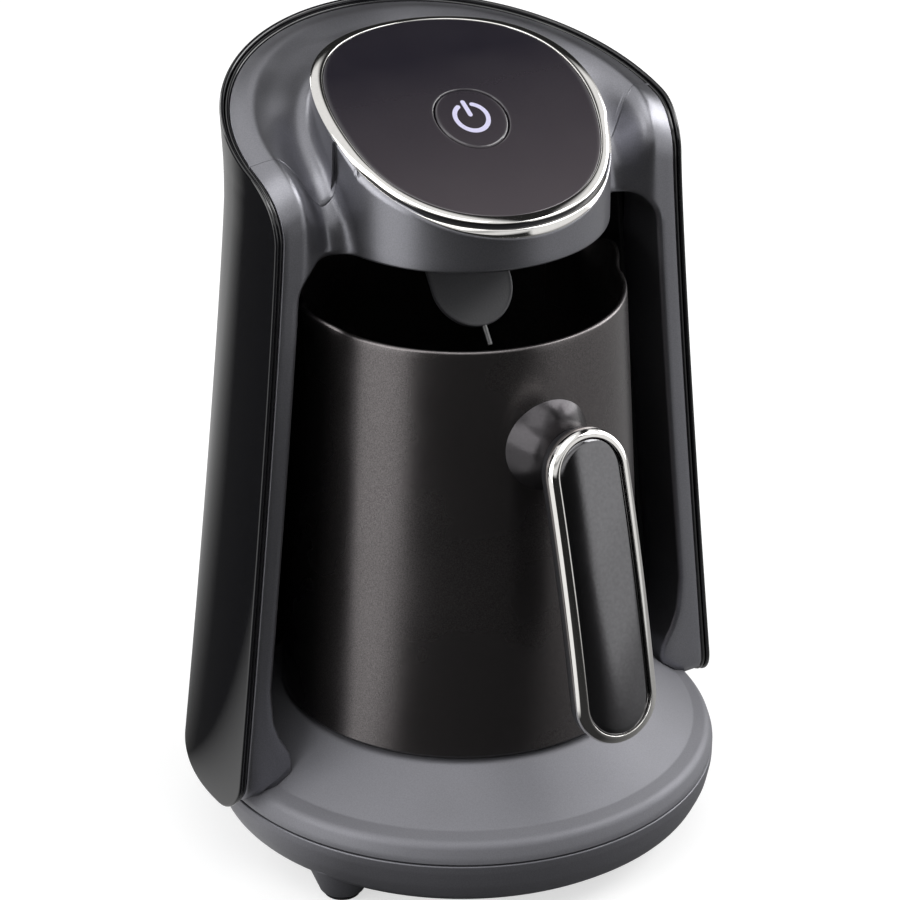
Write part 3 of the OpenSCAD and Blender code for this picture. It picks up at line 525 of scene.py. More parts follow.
# ---------------------------------------------------------------- grey front: columns, brow, web and skirt
LIP_R = 1.4
CORNER_RHO = 63.8
FILLET_R = 5.0
RHO_FACE = [68.1, 66.6, 65.2, 63.8, 63.6, 63.1, 62.4, 61.6, 60.8, 60.0, 59.0, 58.0, 57.0, 56.0, 55.0, 54.0,
            53.0, 52.0, 51.0, 50.3, 49.6]
COLUMN_LOW_Z = 195.0
CORNER_R = 11.2
EDGE_RHO = 68.1
FREE_RHO = 58.0
TAPER_RHO = 5.8
FILLET_STEPS = 7
FACE_STEPS = 40
SKIRT_STEPS = 8
SEAM_GAP = 0.06
COLUMN_FOOT_Z = [38, 41, 44, 49.5, 56, 68]
COLUMN_FOOT_R = [69.2, 69.2, 69.8, 72.9, 74.9]
FOOT_CORNER_R = 9
FOOT_CORNER_Z = 37
WALL_BACK_Y = 9.0
WEB_BACK_Y = 2.2
CREST_TOP_Z = 251.4
CREST_SOFT = 0.6


def crest_rise(rho):
    t = np.clip((WAIST_R - rho) / 7.1, 0, 1)
    return 3.0 * (t - 0.14 * t ** 5) / 0.86


def valley_share(rho):
    return smooth((62.5 - rho) / 12.5)


def seam_y(rho):
    return -5 + (rho - 45) / 23 * 10


def side_normal(row):
    slope = np.gradient(row, axis=0)
    slope /= np.linalg.norm(slope, axis=1)[:, None]
    return np.stack([-slope[:, 1], slope[:, 0]], axis=-1)


def valley_line(lift):
    """Side view of the valley, or of the fillet that rises from it."""
    return VALLEY + lift * side_normal(VALLEY)


def valley_path(end_y, lift=0.0):
    line = valley_line(lift)
    part = line[(line[:, 0] < end_y) | (VALLEY[:, 1] < 209)]
    path = np.vstack([part, [end_y, np.interp(end_y, line[40:, 0], line[40:, 1])]])
    path[0] = [path[0, 0], COLUMN_LOW_Z + CORNER_R]
    return path[path[:, 1] >= COLUMN_LOW_Z + CORNER_R - 1e-6]


def spread_out(rho, y, z):
    """Places (rho, y, z): rho is the distance from the axis, and the outer part follows the body's taper."""
    shift = (body_r(z) - WAIST_R) * np.clip((rho - FREE_RHO) / TAPER_RHO, 0, 1)
    far = rho + shift
    return np.stack([np.sqrt(np.maximum(0, far ** 2 - y ** 2)), y, z], axis=-1)


def face_row(rho):
    """(y, z) of the front and brow at one rho, from the lower edge to the seam, and the way out of it."""
    share = np.linspace(0, 1, FACE_STEPS)
    corner = np.clip((CORNER_RHO - rho) / 10, 0, 1)
    low = COLUMN_LOW_Z + CORNER_R * math.sqrt(1 - (1 - corner) ** 2)
    end = seam_y(rho) - SEAM_GAP
    w = valley_share(rho)
    outer = along(brow_path(crest_rise(rho), low, end), share)
    inner = along(valley_path(end), share)
    return (1 - w) * outer + w * inner


def outer_lip(row, radius=0.5, back=4.0):
    """Rounded outer edge beside the shell and its return behind it, as rows of (rho, y, z)."""
    normal = side_normal(row)
    rows = [(WAIST_R, row - normal * (radius + back))]
    for a in np.radians([90, 60, 30]):
        rows.append((EDGE_RHO + radius * math.sin(a), row - normal * radius * (1 - math.cos(a))))
    return rows


def grey_face():
    rows = outer_lip(face_row(RHO_FACE[0]))
    rows += [(rho, face_row(rho)) for rho in RHO_FACE]
    end = seam_y(RHO_FACE[-1]) - SEAM_GAP
    for a in np.linspace(0, 90, FILLET_STEPS)[1:]:
        lift = FILLET_R * (1 - math.cos(math.radians(a)))
        rho = HEAD_R + FILLET_R * (1 - math.sin(math.radians(a)))
        rows.append((rho, along(valley_path(end, lift), np.linspace(0, 1, FACE_STEPS))))
    return rows


def grey_front():
    rows = grey_face()
    face = np.array([spread_out(np.full(FACE_STEPS, rho), line[:, 0], line[:, 1]) for rho, line in rows])
    parts = [sheet(face)]
    # the edge at the seam drops out of sight
    lines = np.array([line for rho, line in rows])
    rhos = np.array([rho for rho, line in rows])
    last = lines[:, -1]
    step = lines[:, -1] - lines[:, -2]
    step /= np.linalg.norm(step, axis=1)[:, None]
    inward = np.stack([step[:, 1], -step[:, 0]], axis=-1)
    drop = [last, last + 0.04 * step + 0.07 * inward, last + 0.05 * step + 2.2 * inward]
    parts.append(sheet(np.array([spread_out(rhos, d[:, 0], d[:, 1]) for d in drop])))
    # skirt beside the valley, and round the front
    edge = lines[-1]
    start = edge[0]
    height = np.linspace(0, 1, SKIRT_STEPS)
    side = []
    for y, z in edge:
        zs = z + (float(skirt_top(y)) - z) * height
        side.append(spread_out(np.full(SKIRT_STEPS, HEAD_R), np.full(SKIRT_STEPS, y), zs))
    parts.append(sheet(np.array(side)))
    arc = []
    for a in np.linspace(math.asin(start[0] / HEAD_R), -math.pi / 2, 40):
        top = float(skirt_top(HEAD_R * math.sin(a)))
        arc.append(around(HEAD_R, a, start[1] + (top - start[1]) * height))
    arc = np.array(arc)
    arc[0] = side[0]
    parts.append(sheet(arc))
    # lower column
    strip = column_strip([(rho, line[0]) for rho, line in rows if rho >= CORNER_RHO - 1e-6])
    parts.append(sheet(strip))
    # rounded inner edge: up the column, round the corner, along the web and round the skirt
    column_edge = strip[-1][::-1]
    corner_index = [k for k, (rho, line) in enumerate(rows) if abs(rho - CORNER_RHO) < 1e-6][0]
    web_edge = face[corner_index:, 0]
    bottom = np.vstack([column_edge, web_edge[1:], arc[1:, 0]])
    parts.append(inner_edge(bottom, len(column_edge), len(web_edge) - 1))
    return parts + [mirrored(part) for part in parts]


def column_inner(z):
    """Distance from the axis to a column's inner face, which turns inward at its foot."""
    if z >= COLUMN_FOOT_Z[-1]:
        return body_r(z) - COLUMN_T
    return np.interp(z, COLUMN_FOOT_Z, [*COLUMN_FOOT_R, body_r(COLUMN_FOOT_Z[-1]) - COLUMN_T])


def base_top(rho):
    """Height of the base's upper side."""
    return np.interp(rho, [57.5, 75.2, 78.5, 80.2, 80.8, 90], [47.75, 33.7, 31.6, 29.2, 28.0, 27.9])


def column_strip(starts):
    """Lower part of a column's face, from the outer return to the inner edge."""
    share = np.linspace(0, 1, 46) ** 0.85
    rows = []
    for rho, start in starts:
        u = (rho - CORNER_RHO) / (WAIST_R - CORNER_RHO)
        low = 35.0
        for _ in range(30):
            inner = column_inner(low) + LIP_R
            low = 0.5 * low + 0.5 * float(base_top(inner + u * (float(body_r(low)) - inner)))
        line = []
        for s in share:
            z = COLUMN_LOW_Z + (low - COLUMN_LOW_Z) * s
            inner = column_inner(z) + LIP_R
            far = inner + u * (float(body_r(z)) - inner)
            tip = max(0.0, FOOT_CORNER_Z - z)
            y = start[0] + FOOT_CORNER_R - math.sqrt(max(0.0, FOOT_CORNER_R ** 2 - tip * tip))
            line.append([math.sqrt(far * far - y * y), y, z])
        line[0] = spread_out(np.array(rho), np.array(start[0]), np.array(COLUMN_LOW_Z)).tolist()
        rows.append(line)
    return np.array(rows)


def inner_edge(bottom, column_count, web_count):
    """Sweeps a rounded edge and the wall behind it along the opening."""
    count = len(bottom)
    radial = np.hypot(bottom[:, 0], bottom[:, 1])
    flat = np.stack([radial, bottom[:, 2]], axis=-1)
    tangent = np.gradient(flat, axis=0)
    tangent /= np.maximum(1e-9, np.linalg.norm(tangent, axis=1))[:, None]
    skirt_from = column_count + web_count
    tangent[skirt_from - 1:] = (-1, 0)
    place = np.arange(count)
    turn_in = np.clip((place - (skirt_from - FILLET_STEPS)) / FILLET_STEPS, 0, 1)[:, None]
    out = np.stack([bottom[:, 0], bottom[:, 1], np.zeros(count)], axis=-1) / radial[:, None]
    toward = np.stack([-tangent[:, 1] * out[:, 0], -tangent[:, 1] * out[:, 1], tangent[:, 0]], axis=-1)
    toward[:, :2] = np.where(turn_in > 0, 0, toward[:, :2])
    deep = (1 - turn_in) * np.array([0, 1.0, 0]) - turn_in * out
    deep /= np.linalg.norm(deep, axis=1)[:, None]
    web = np.clip((place - column_count + 4) / 8, 0, 1)
    wall_end = WALL_BACK_Y + (WEB_BACK_Y - WALL_BACK_Y) * web
    reach = np.maximum(1.0, (1 - turn_in[:, 0]) * (wall_end - bottom[:, 1] - LIP_R) + turn_in[:, 0] * 1.0)
    rows = [bottom + LIP_R * (math.sin(a) * toward + (1 - math.cos(a)) * deep)
            for a in np.radians([0, 18, 36, 54, 72, 90])]
    rows += [rows[-1] + deep * (reach * share)[:, None] for share in (0.25, 0.5, 0.75, 1.0)]
    return sheet(np.array(rows))


piece("front_frame", grey_front(), "machine", "grey_satin", ("column_frame", "head_housing"), close=1.2)


# ---------------------------------------------------------------- grey rear top
def rear_top():
    turns = np.concatenate([np.linspace(0, 0.12, 8, endpoint=False), np.linspace(0.12, 1, 40)])
    rhos = [(WAIST_R, 4.5)] + [(EDGE_RHO + 0.5 * math.sin(a), 0.5 * (1 - math.cos(a)))
                               for a in np.radians([90, 60, 30])]
    rhos += [(rho, 0.0) for rho in RHO_FACE]
    fillet = [(HEAD_R + FILLET_R * (1 - math.sin(a)), FILLET_R * (1 - math.cos(a)))
              for a in np.radians(np.linspace(0, 90, FILLET_STEPS)[1:])]

    def line(rho, drop, lift, to_ring=None):
        plain = max(rho, RHO_FACE[-1])
        start = math.asin((seam_y(plain) + SEAM_GAP) / rho)
        angle = start + (math.pi / 2 - start) * turns
        angle = np.concatenate([angle, math.pi - angle[-2::-1]])
        y = rho * np.sin(angle)
        level = min(rho, EDGE_RHO)
        w = valley_share(level)
        side = brow_height(y) + crest_rise(level)
        side = CREST_TOP_Z - CREST_SOFT * np.logaddexp(0, (CREST_TOP_Z - side) / CREST_SOFT)
        valley = valley_line(lift)[40:]
        z = (1 - w) * side + w * np.interp(y, valley[:, 0], valley[:, 1]) - drop
        if to_ring is not None:
            z = z + (skirt_top(y) - z) * to_ring
        x = rho * np.cos(angle)
        far = (rho + (body_r(z) - WAIST_R) * np.clip((rho - FREE_RHO) / TAPER_RHO, 0, 1)) / rho
        return np.stack([x * far, y * far, z], axis=-1)

    rows = [line(rho, drop, 0.0) for rho, drop in rhos]
    rows += [line(rho, 0.0, lift) for rho, lift in fillet]
    rows += [line(HEAD_R, 0.0, FILLET_R, to_ring=share) for share in np.linspace(0, 1, SKIRT_STEPS)[1:]]
    grid = np.array(rows)
    first = grid[:, 0]
    toward = grid[:, 1] - grid[:, 0]
    toward /= np.linalg.norm(toward, axis=1)[:, None]
    down = np.array([0, 0.5, -0.86])
    edges = [first, first - 0.04 * toward + 0.07 * down, first - 0.05 * toward + 2.2 * down]
    last = [e * (-1, 1, 1) for e in edges]
    return [sheet(grid), sheet(np.array(edges)), sheet(np.array(last))]


piece("rear_top", rear_top(), "machine", "grey_satin", ("top_cover",), close=1.2)


# ---------------------------------------------------------------- black shell, in two skins
SHELL_LOW_Z = 27.3
SHELL_CORNER_R = 10


def shell_front(setback):
    """(y, z) of the shell's front edge, from its lower end to the rim."""
    front = FRONT_Y - 0.2 + setback
    corner = np.radians(np.linspace(270, 180, 10))
    low = np.stack([front + SHELL_CORNER_R + SHELL_CORNER_R * np.cos(corner),
                    SHELL_LOW_Z + SHELL_CORNER_R + SHELL_CORNER_R * np.sin(corner)], axis=-1)
    brow = np.radians(np.linspace(180, 90 + RIM_DEGREES, 16))
    top = np.stack([front + BROW_R + BROW_R * np.cos(brow),
                    BROW_Z + 1 - setback + BROW_R * np.sin(brow)], axis=-1)
    middle = np.linspace(low[-1], top[0], 30)[1:-1]
    return np.vstack([low, middle, top])


def shell_skin(out, thick, setback, edge):
    rim = RIM_Z + 1 - setback
    front = shell_front(setback)
    turns = np.linspace(0, 1, 56) ** 1.25

    def line(y0, z0, off):
        share = (z0 - SHELL_LOW_Z) / (rim + RIM_SLOPE * y0 - SHELL_LOW_Z)
        angle0 = math.asin(y0 / (float(body_r(z0)) + off))
        angle = angle0 + (math.pi / 2 - angle0) * turns
        angle = np.concatenate([angle, math.pi - angle[-2::-1]])
        z = np.full(angle.shape, z0)
        for _ in range(6):
            y = (body_r(z) + off) * np.sin(angle)
            z = SHELL_LOW_Z + (rim + RIM_SLOPE * y - SHELL_LOW_Z) * share
        return around(body_r(z) + off, angle, z)

    outer = np.array([line(y, z, out) for y, z in front])
    inner = np.array([line(y, z, out - thick) for y, z in front])
    return walled(outer, inner, edge)


def walled(outer, inner, edge):
    """Two sheets a wall apart, joined round their border by a rounded edge."""
    depth = inner - outer
    thick = np.linalg.norm(depth, axis=2)[:, :, None]
    into = depth / thick
    rows, cols = outer.shape[:2]
    border = [(0, j) for j in range(cols)] + [(i, cols - 1) for i in range(1, rows)]
    border += [(rows - 1, j) for j in range(cols - 2, -1, -1)] + [(i, 0) for i in range(rows - 2, 0, -1)]
    rim = np.array([outer[p] for p in border])
    inside = np.array([inner[p] for p in border])
    way_in = np.array([into[p] for p in border])
    ahead = np.roll(rim, -1, axis=0) - np.roll(rim, 1, axis=0)
    away = np.cross(way_in, ahead)
    away /= np.linalg.norm(away, axis=1)[:, None]
    middle = np.array([outer[min(max(i, 1), rows - 2), min(max(j, 1), cols - 2)] for i, j in border])
    flip = np.sum(away * (rim - middle), axis=1) < 0
    away[flip] *= -1
    span = np.linalg.norm(inside - rim, axis=1)[:, None]
    loops = [rim]
    for a in np.radians([20, 40, 60, 80, 90]):
        loops.append(rim + edge * (math.sin(a) * away + (1 - math.cos(a)) * way_in))
    for a in np.radians([90, 80, 60, 40, 20]):
        loops.append(rim + edge * math.sin(a) * away + (span - edge * (1 - math.cos(a))) * way_in)
    loops.append(inside)
    return [sheet(outer), sheet(inner), sheet(np.array(loops), wrap=True)]


SHELL_EDGE = 0.55
piece("rear_shell_outer_skin", shell_skin(2.95, 1.3, SHELL_EDGE, SHELL_EDGE)
      + shell_skin(1.4, 1.2, SHELL_EDGE + 0.5, 0.5), "machine", "shell_black", ("rear_shell",))


# ---------------------------------------------------------------- base
COVER = rounded([(0, 47.6, 0), (57.2, 47.6, 3.0), (74.4, 33.7, 3.0), (79.3, 31.7, 4.0), (80.8, 27.0, 4.0),
                 (80.75, 25.25, 0.5), (78.2, 25.25, 0.5), (78.0, 28.5, 3.0), (73.0, 31.2, 3.0),
                 (56.4, 45.2, 3.0), (0, 45.2, 0)], step=8)
piece("base_top_cover", [turned(COVER, 180)], "machine", "base_grey", ("base_cover",))


PAN = rounded([(0, 6.6, 0), (67.8, 6.6, 4.0), (73.0, 8.4, 6.0), (77.2, 11.6, 6.0), (79.6, 16.6, 8.0),
               (80.7, 22.0, 6.0), (80.75, 24.75, 0.5), (78.2, 24.75, 0.4), (77.8, 20.0, 5.0),
               (74.8, 13.6, 6.0), (66.0, 9.2, 4.0), (0, 9.0, 0)], step=8)
FOOT_CIRCLE_R = 66.6
FOOT_DEGREES = (-25.8, 55.0)
FOOT_PLACES = [(side * FOOT_CIRCLE_R * math.cos(a), FOOT_CIRCLE_R * math.sin(a))
               for side in (-1, 1) for a in (math.radians(degrees) for degrees in FOOT_DEGREES)]
FOOT_BOSS = rounded([(0, 1.9, 0), (6.9, 1.9, 0.6), (11.6, 13.4, 1.0), (0, 13.6, 0)])
FOOT_PAD = rounded([(0, 0.0, 0), (5.8, 0.0, 0.9), (5.8, 2.3, 0.3), (0, 2.3, 0)])
piece("base_lower_pan", [turned(PAN, 180)] + [turned(FOOT_BOSS, 40, at=place) for place in FOOT_PLACES],
      "machine", "pan_grey", ("base_pan",))
piece("rubber_feet", [turned(FOOT_PAD, 40, at=place) for place in FOOT_PLACES], "machine", "rubber_black",
      ("foot_pads",))


# ---------------------------------------------------------------- ring that the columns stand on
FOOT_RING_STEPS = 70
FOOT_RING = [(69.4, 39.0), (69.4, 43.4), (69.8, 44.4), (70.8, 45.0), (83.6, 45.0), (84.2, 44.6),
             (84.5, 43.6), (84.9, 36.0), (85.2, 28.6), (81.6, 28.6), (79.0, 32.2), (75.4, 34.2), (69.4, 39.0)]


def foot_ring_sheets():
    rows = []
    for radius, z in FOOT_RING:
        start = math.asin(1.0 / radius)
        rows.append(around(radius, np.linspace(start, math.pi - start, FOOT_RING_STEPS), z))
    points, faces = sheet(np.array(rows))
    firsts = [k * FOOT_RING_STEPS for k in range(len(FOOT_RING) - 1)]
    return [(points, faces + [firsts, [first + FOOT_RING_STEPS - 1 for first in firsts][::-1]])]


piece("frame_foot_ring", foot_ring_sheets(), "machine", "grey_satin", ("column_frame",))


# ---------------------------------------------------------------- head: ring, trim, panel, button
def swept_ring(section, front_section):
    """A section of (rho, height over the head's top) carried round the head, changing toward the front."""
    angle = full_turn(160)
    nearness = smooth((-9 - 43.5 * np.sin(angle)) / 9)
    rows = []
    for back, front in zip([*section, section[0]], [*front_section, front_section[0]]):
        rho = back[0] + (front[0] - back[0]) * nearness
        dz = back[1] + (front[1] - back[1]) * nearness
        rows.append(around(rho, angle, top_z(rho * np.sin(angle)) + dz))
    return sheet(np.array(rows), wrap=True)


RING = [(41.65, -0.2), (41.72, -0.06), (41.9, 0.0), (42.5, -0.02), (43.4, -0.14), (44.4, -0.38),
        (45.0, -0.62), (45.22, -0.8), (45.2, -1.05), (43.6, -1.3), (43.6, -1.7), (41.65, -1.7)]
FRONT_RING = [(41.65, -0.2), (41.72, -0.06), (41.85, 0.0), (42.2, -0.02), (42.8, -0.12), (43.4, -0.32),
              (43.8, -0.52), (44.0, -0.7), (43.98, -0.95), (43.3, -1.15), (43.3, -1.7), (41.65, -1.7)]
piece("panel_bright_ring", [swept_ring(RING, FRONT_RING)], "machine", "chrome", ("panel_ring",))


# painted shadow: a black strip put between the ring and the trim to stand in for the shade in the gap
GAP_STRIP = [(42.8, -1.35), (43.9, -1.35), (43.9, -2.9), (42.8, -2.9)]
piece("ring_shadow_gap", [swept_ring(GAP_STRIP, GAP_STRIP)], "machine", "moulded_black")


def trim_sheets():
    end = math.asin(-10.2 / HEAD_R)
    angle = np.linspace(end, -math.pi - end, 110)
    y = HEAD_R * np.sin(angle)
    low = trim_line(y) - 0.45
    high = top_z(y) - 2.2
    high = np.maximum(high, low + 0.05)
    rows = []
    arc = [(0.0, 0.0), (0.45, 0.02), (0.72, 0.10), (0.76, 0.22), (0.62, 0.42), (0.42, 0.62), (0.20, 0.82),
           (0.02, 0.95), (-0.2, 1.0)]
    for dome, share in [(-1.4, 0.0)] + arc + [(-1.4, 1.0), (-1.4, 0.0)]:
        radius = HEAD_R + dome * np.minimum(1.0, (high - low) / 1.5) if dome > 0 else HEAD_R + dome
        rows.append(around(radius, angle, low + (high - low) * share))
    return [sheet(np.array(rows))]


piece("front_bright_trim", trim_sheets(), "machine", "chrome", ("front_trim",))

BUTTON_Y = -5.5
BUTTON_TILT = math.asin(TOP_SIN - (BUTTON_Y - TOP_KNEE[0]) / TOP_BACK_R)
BUTTON_HOLE_R = 11.75
PANEL_R = 41.5


def on_slope(x, v, up=0.0):
    """A point beside the button's axis: x across, v along the slope, up over the head's top."""
    y = BUTTON_Y + v * math.cos(BUTTON_TILT)
    return np.stack([x, y, top_z(y) + up], axis=-1)


def panel_sheets():
    angle = full_turn(120)
    rows = []
    hole = np.stack([np.cos(angle), np.sin(angle)], axis=-1) * BUTTON_HOLE_R
    hole_y = BUTTON_Y + hole[:, 1] * math.cos(BUTTON_TILT)
    offset = BUTTON_Y * np.sin(angle)
    reach = -offset + np.sqrt(offset ** 2 - BUTTON_Y ** 2 + PANEL_R ** 2)
    outer = np.stack([reach * np.cos(angle), BUTTON_Y + reach * np.sin(angle)], axis=-1)
    inner = np.stack([hole[:, 0], hole_y], axis=-1)
    way = outer - inner
    length = np.linalg.norm(way, axis=1)[:, None]

    def put(p, drop):
        rows.append(np.stack([p[:, 0], p[:, 1], top_z(p[:, 1]) - drop], axis=-1))

    for grow, drop in ((0, 2.0), (0, 0.5), (0.08, 0.25), (0.25, 0.14)):
        put(inner + way / length * grow, drop)
    for share in np.linspace(0, 1, 18):
        put(inner + way * (0.5 / length + (1 - 0.9 / length) * share), 0.1)
    for grow, drop in ((0.2, 0.14), (0.06, 0.25), (0, 0.5), (0, 2.0)):
        put(outer - way / length * grow, drop)
    rows.append(rows[0])
    return [sheet(np.array(rows), wrap=True)]


piece("gloss_top_panel", panel_sheets(), "machine", "panel_gloss", ("top_panel",))


def button_sheets():
    angle = full_turn(72)
    rows = []
    for radius, drop in ((0.0, 3.2), (10.9, 3.2), (11.3, 2.9), (11.3, 0.7), (11.2, 0.35), (10.95, 0.16),
                         (10.6, 0.1), (9.0, 0.1), (7.0, 0.12), (4.0, 0.14), (0.0, 0.14)):
        rows.append(on_slope(radius * np.cos(angle), radius * np.sin(angle), -drop))
    return [sheet(np.array(rows), wrap=True)]


piece("button_gloss_cap", button_sheets(), "power_button", "panel_gloss", ("button_cap",))


SYMBOL_WIDTH = 1.45
SYMBOL_UP = -0.09
SYMBOL_THICK = 0.35
SYMBOL_R = 5.2
SYMBOL_GAP_DEGREES = 27


def stroke(path):
    """A flat stroke with round ends laid on the button."""
    way = np.gradient(path, axis=0)
    way /= np.linalg.norm(way, axis=1)[:, None]
    way *= SYMBOL_WIDTH / 2
    side = np.stack([-way[:, 1], way[:, 0]], axis=-1)
    turn = np.radians([30, 60, 90, 120, 150])[:, None]
    end = path[-1] + np.sin(turn) * way[-1] + np.cos(turn) * side[-1]
    start = path[0] - np.sin(turn) * way[0] - np.cos(turn) * side[0]
    outline = np.vstack([path + side, end, (path - side)[::-1], start])
    count = len(path)
    total = len(outline)
    points = np.vstack([on_slope(outline[:, 0], outline[:, 1], up)
                        for up in (SYMBOL_UP, SYMBOL_UP - SYMBOL_THICK)])
    faces = []
    for base, flip in ((0, False), (total, True)):
        a = list(range(base, base + total))
        quads = [[a[i], a[i + 1], a[count + 5 + count - 2 - i], a[count + 5 + count - 1 - i]]
                 for i in range(count - 1)]
        caps = [[a[count - 1], *a[count:count + 5], a[count + 5]],
                [a[2 * count + 4], *a[2 * count + 5:], a[0]]]
        faces += [f[::-1] if flip else f for f in quads + caps]
    faces += [[i, total + i, total + (i + 1) % total, (i + 1) % total] for i in range(total)]
    return points, faces


def symbol_sheets():
    ring = np.radians(np.linspace(90 + SYMBOL_GAP_DEGREES, 450 - SYMBOL_GAP_DEGREES, 60))
    circle = np.stack([SYMBOL_R * np.cos(ring), SYMBOL_R * np.sin(ring)], axis=-1)
    bar = np.stack([np.zeros(10), np.linspace(0.9, 6.2, 10)], axis=-1)
    return [stroke(circle), stroke(bar)]


piece("power_symbol", symbol_sheets(), "power_button", "symbol_white", ("button_symbol",))


# ---------------------------------------------------------------- sensor tongue
TONGUE_A = math.radians(35.5)
TONGUE_TOP = (9.6, 206)
TONGUE_HALF_W = 13.6
TONGUE_TIP = -26.0


def tongue_point(x, across, along_z):
    """The tongue's own axes: x, across its thickness, and down its length."""
    y = TONGUE_TOP[0] + across * math.cos(TONGUE_A) + along_z * math.sin(TONGUE_A)
    z = TONGUE_TOP[1] - across * math.sin(TONGUE_A) + along_z * math.cos(TONGUE_A)
    return np.stack([x, y, z], axis=-1)


def tongue_loop(inset, across):
    half = TONGUE_HALF_W - inset
    a = np.radians(np.linspace(0, -180, 40))
    x = np.concatenate([[half], half * np.cos(a), [-half]])
    z = np.concatenate([[2.0], TONGUE_TIP + half * np.sin(a), [2.0]])
    return tongue_point(x, np.full(x.shape, across), z)


def tongue_sheets():
    section = [(1.6, 0.93), (1.1, 0.95), (0.8, 0.99), (0.45, 1.0), (0.12, 0.85), (0, 0.4), (0, -0.4),
               (0.12, -0.85), (0.45, -1.0), (0.8, -0.99), (1.1, -0.94), (1.6, -0.93)]
    return [looped([tongue_loop(i, t) for i, t in section])]


piece("sensor_tongue_skin", tongue_sheets(), "machine", "silicone_grey", ("sensor_tongue",))


# ---------------------------------------------------------------- pot
def pot_r(z):
    return POT_R + (POT_RIM_R - POT_R) * (z - POT_Z) / (POT_RIM_Z - POT_Z)


LIP_LOW_Z = 148
LIP_TALL = 37.9
LIP_LOW_R = 5
LIP_WIDENS = 12.4
LIP_OUT = 37.2
LIP_FILLET = 2.2
POT_WALL = 1.6
POT_EDGE_R = 0.8
POT_FLOOR_Z = 66.7
POT_FLOOR_R = 3
POT_SKIRT_Z = 48.7
POT_CHAMFER = 1.2
PLATE_UNDER_Z = 65.1


def lip_reach(angle, z, grow):
    """Distance from the axis to the pouring lip's cone."""
    rise = np.clip((z - LIP_LOW_Z) / LIP_TALL, 0, 1.05)
    radius = LIP_LOW_R + LIP_WIDENS * rise + grow
    side = LIP_OUT * np.abs(np.sin(angle))
    inside = radius ** 2 - side ** 2
    reach = LIP_OUT * np.abs(np.cos(angle)) + np.sqrt(np.maximum(0, inside))
    return np.where((inside > 0) & (z > 140), reach, 0)


def pot_wall(angle, z, grow):
    plain = pot_r(z) + grow
    lip = lip_reach(angle, z, grow)
    blend = np.maximum(0, 1 - np.abs(plain - lip) / LIP_FILLET) ** 2 * 0.55
    return np.maximum(plain, lip) + blend


def rim_height(angle):
    near = np.clip(1 - np.abs(np.sin(angle)) / 0.30, 0, 1)
    return POT_RIM_Z + 3.4 * smooth(near)


def pot_angles():
    """Angles round the pot, closer together at its two lips."""
    fine = np.linspace(-0.42, 0.42, 41)
    coarse = np.linspace(0.42, math.pi - 0.42, 56)[1:-1]
    return np.concatenate([fine, coarse, fine + math.pi, coarse + math.pi])


def pot_sheets():
    angle = pot_angles()
    top = rim_height(angle) - POT_EDGE_R
    share = np.concatenate([np.linspace(0, 0.55, 10, endpoint=False), np.linspace(0.55, 1, 30)])
    rows = []

    def put(radius, z):
        rows.append(around(radius, angle, z))

    for a in np.radians([90, 60, 30]):
        put(pot_r(POT_SKIRT_Z) - POT_CHAMFER * math.sin(a), POT_SKIRT_Z + POT_CHAMFER * (1 - math.sin(a)))
    low_z = POT_SKIRT_Z + POT_CHAMFER
    for s in share:
        z = low_z + (top - low_z) * s
        put(pot_wall(angle, z, 0), z)
    for a in np.radians([30, 60, 90, 120, 150]):
        put(pot_wall(angle, top, 0) - POT_EDGE_R + POT_EDGE_R * math.cos(a), top + POT_EDGE_R * math.sin(a))
    low_z = POT_FLOOR_Z + POT_FLOOR_R
    for s in share[::-1]:
        z = low_z + (top - low_z) * s
        put(pot_wall(angle, z, -POT_WALL), z)
    floor_r = pot_r(POT_FLOOR_Z) - POT_WALL
    for a in np.radians([30, 60, 90]):
        put(floor_r - POT_FLOOR_R * (1 - math.cos(a)), POT_FLOOR_Z + POT_FLOOR_R * (1 - math.sin(a)))
    for s in (0.7, 0.4, 0.15, 0.0):
        put((floor_r - POT_FLOOR_R) * s, POT_FLOOR_Z)
    for radius, z in ((0, PLATE_UNDER_Z), (54.2, PLATE_UNDER_Z), (55.3, 64.0), (55.3, POT_SKIRT_Z),
                      (pot_r(POT_SKIRT_Z) - POT_CHAMFER, POT_SKIRT_Z)):
        put(radius, z)
    return [sheet(np.array(rows), wrap=True)]


def carve(target, low, high):
    """Cuts a box-shaped way through a piece."""
    mesh = bpy.data.meshes.new("cutter")
    corners = [(x, y, z) for x in (low[0], high[0]) for y in (low[1], high[1]) for z in (low[2], high[2])]
    faces = [(0, 1, 3, 2), (4, 6, 7, 5), (0, 4, 5, 1), (2, 3, 7, 6), (0, 2, 6, 4), (1, 5, 7, 3)]
    mesh.from_pydata([tuple(c * MM for c in corner) for corner in corners], [], faces)
    cutter = new_object("cutter", mesh)
    cut = target.modifiers.new("way", "BOOLEAN")
    cut.object = cutter
    cut.operation = "DIFFERENCE"
    cut.solver = "EXACT"
    bpy.context.view_layer.update()
    result = bpy.data.meshes.new_from_object(target.evaluated_get(bpy.context.evaluated_depsgraph_get()))
    target.modifiers.clear()
    target.data = result
    bpy.data.objects.remove(cutter)


pot = piece("pot_shell", pot_sheets(), "pot", "pot_charcoal", ("pot_body",), smooth_limit=40)
carve(pot, (-15, 40, 50.8), (15, 70, 65.2))


# ---------------------------------------------------------------- handle
HANDLE_A = math.radians(14.8)
HANDLE_TOP = (-66.9, 162.1)
HANDLE_W = 27.4
HANDLE_L = 97.0
HANDLE_BOW = 1.7


def handle_point(x, front, z):
    """The handle's own axes: x, forward from its middle, and up from its top end."""
    front = front + HANDLE_BOW * (1 - (2 * z / HANDLE_L + 1) ** 2)
    y = HANDLE_TOP[0] - front * math.cos(HANDLE_A) + z * math.sin(HANDLE_A)
    height = HANDLE_TOP[1] + front * math.sin(HANDLE_A) + z * math.cos(HANDLE_A)
    return np.stack([x, y, height], axis=-1)


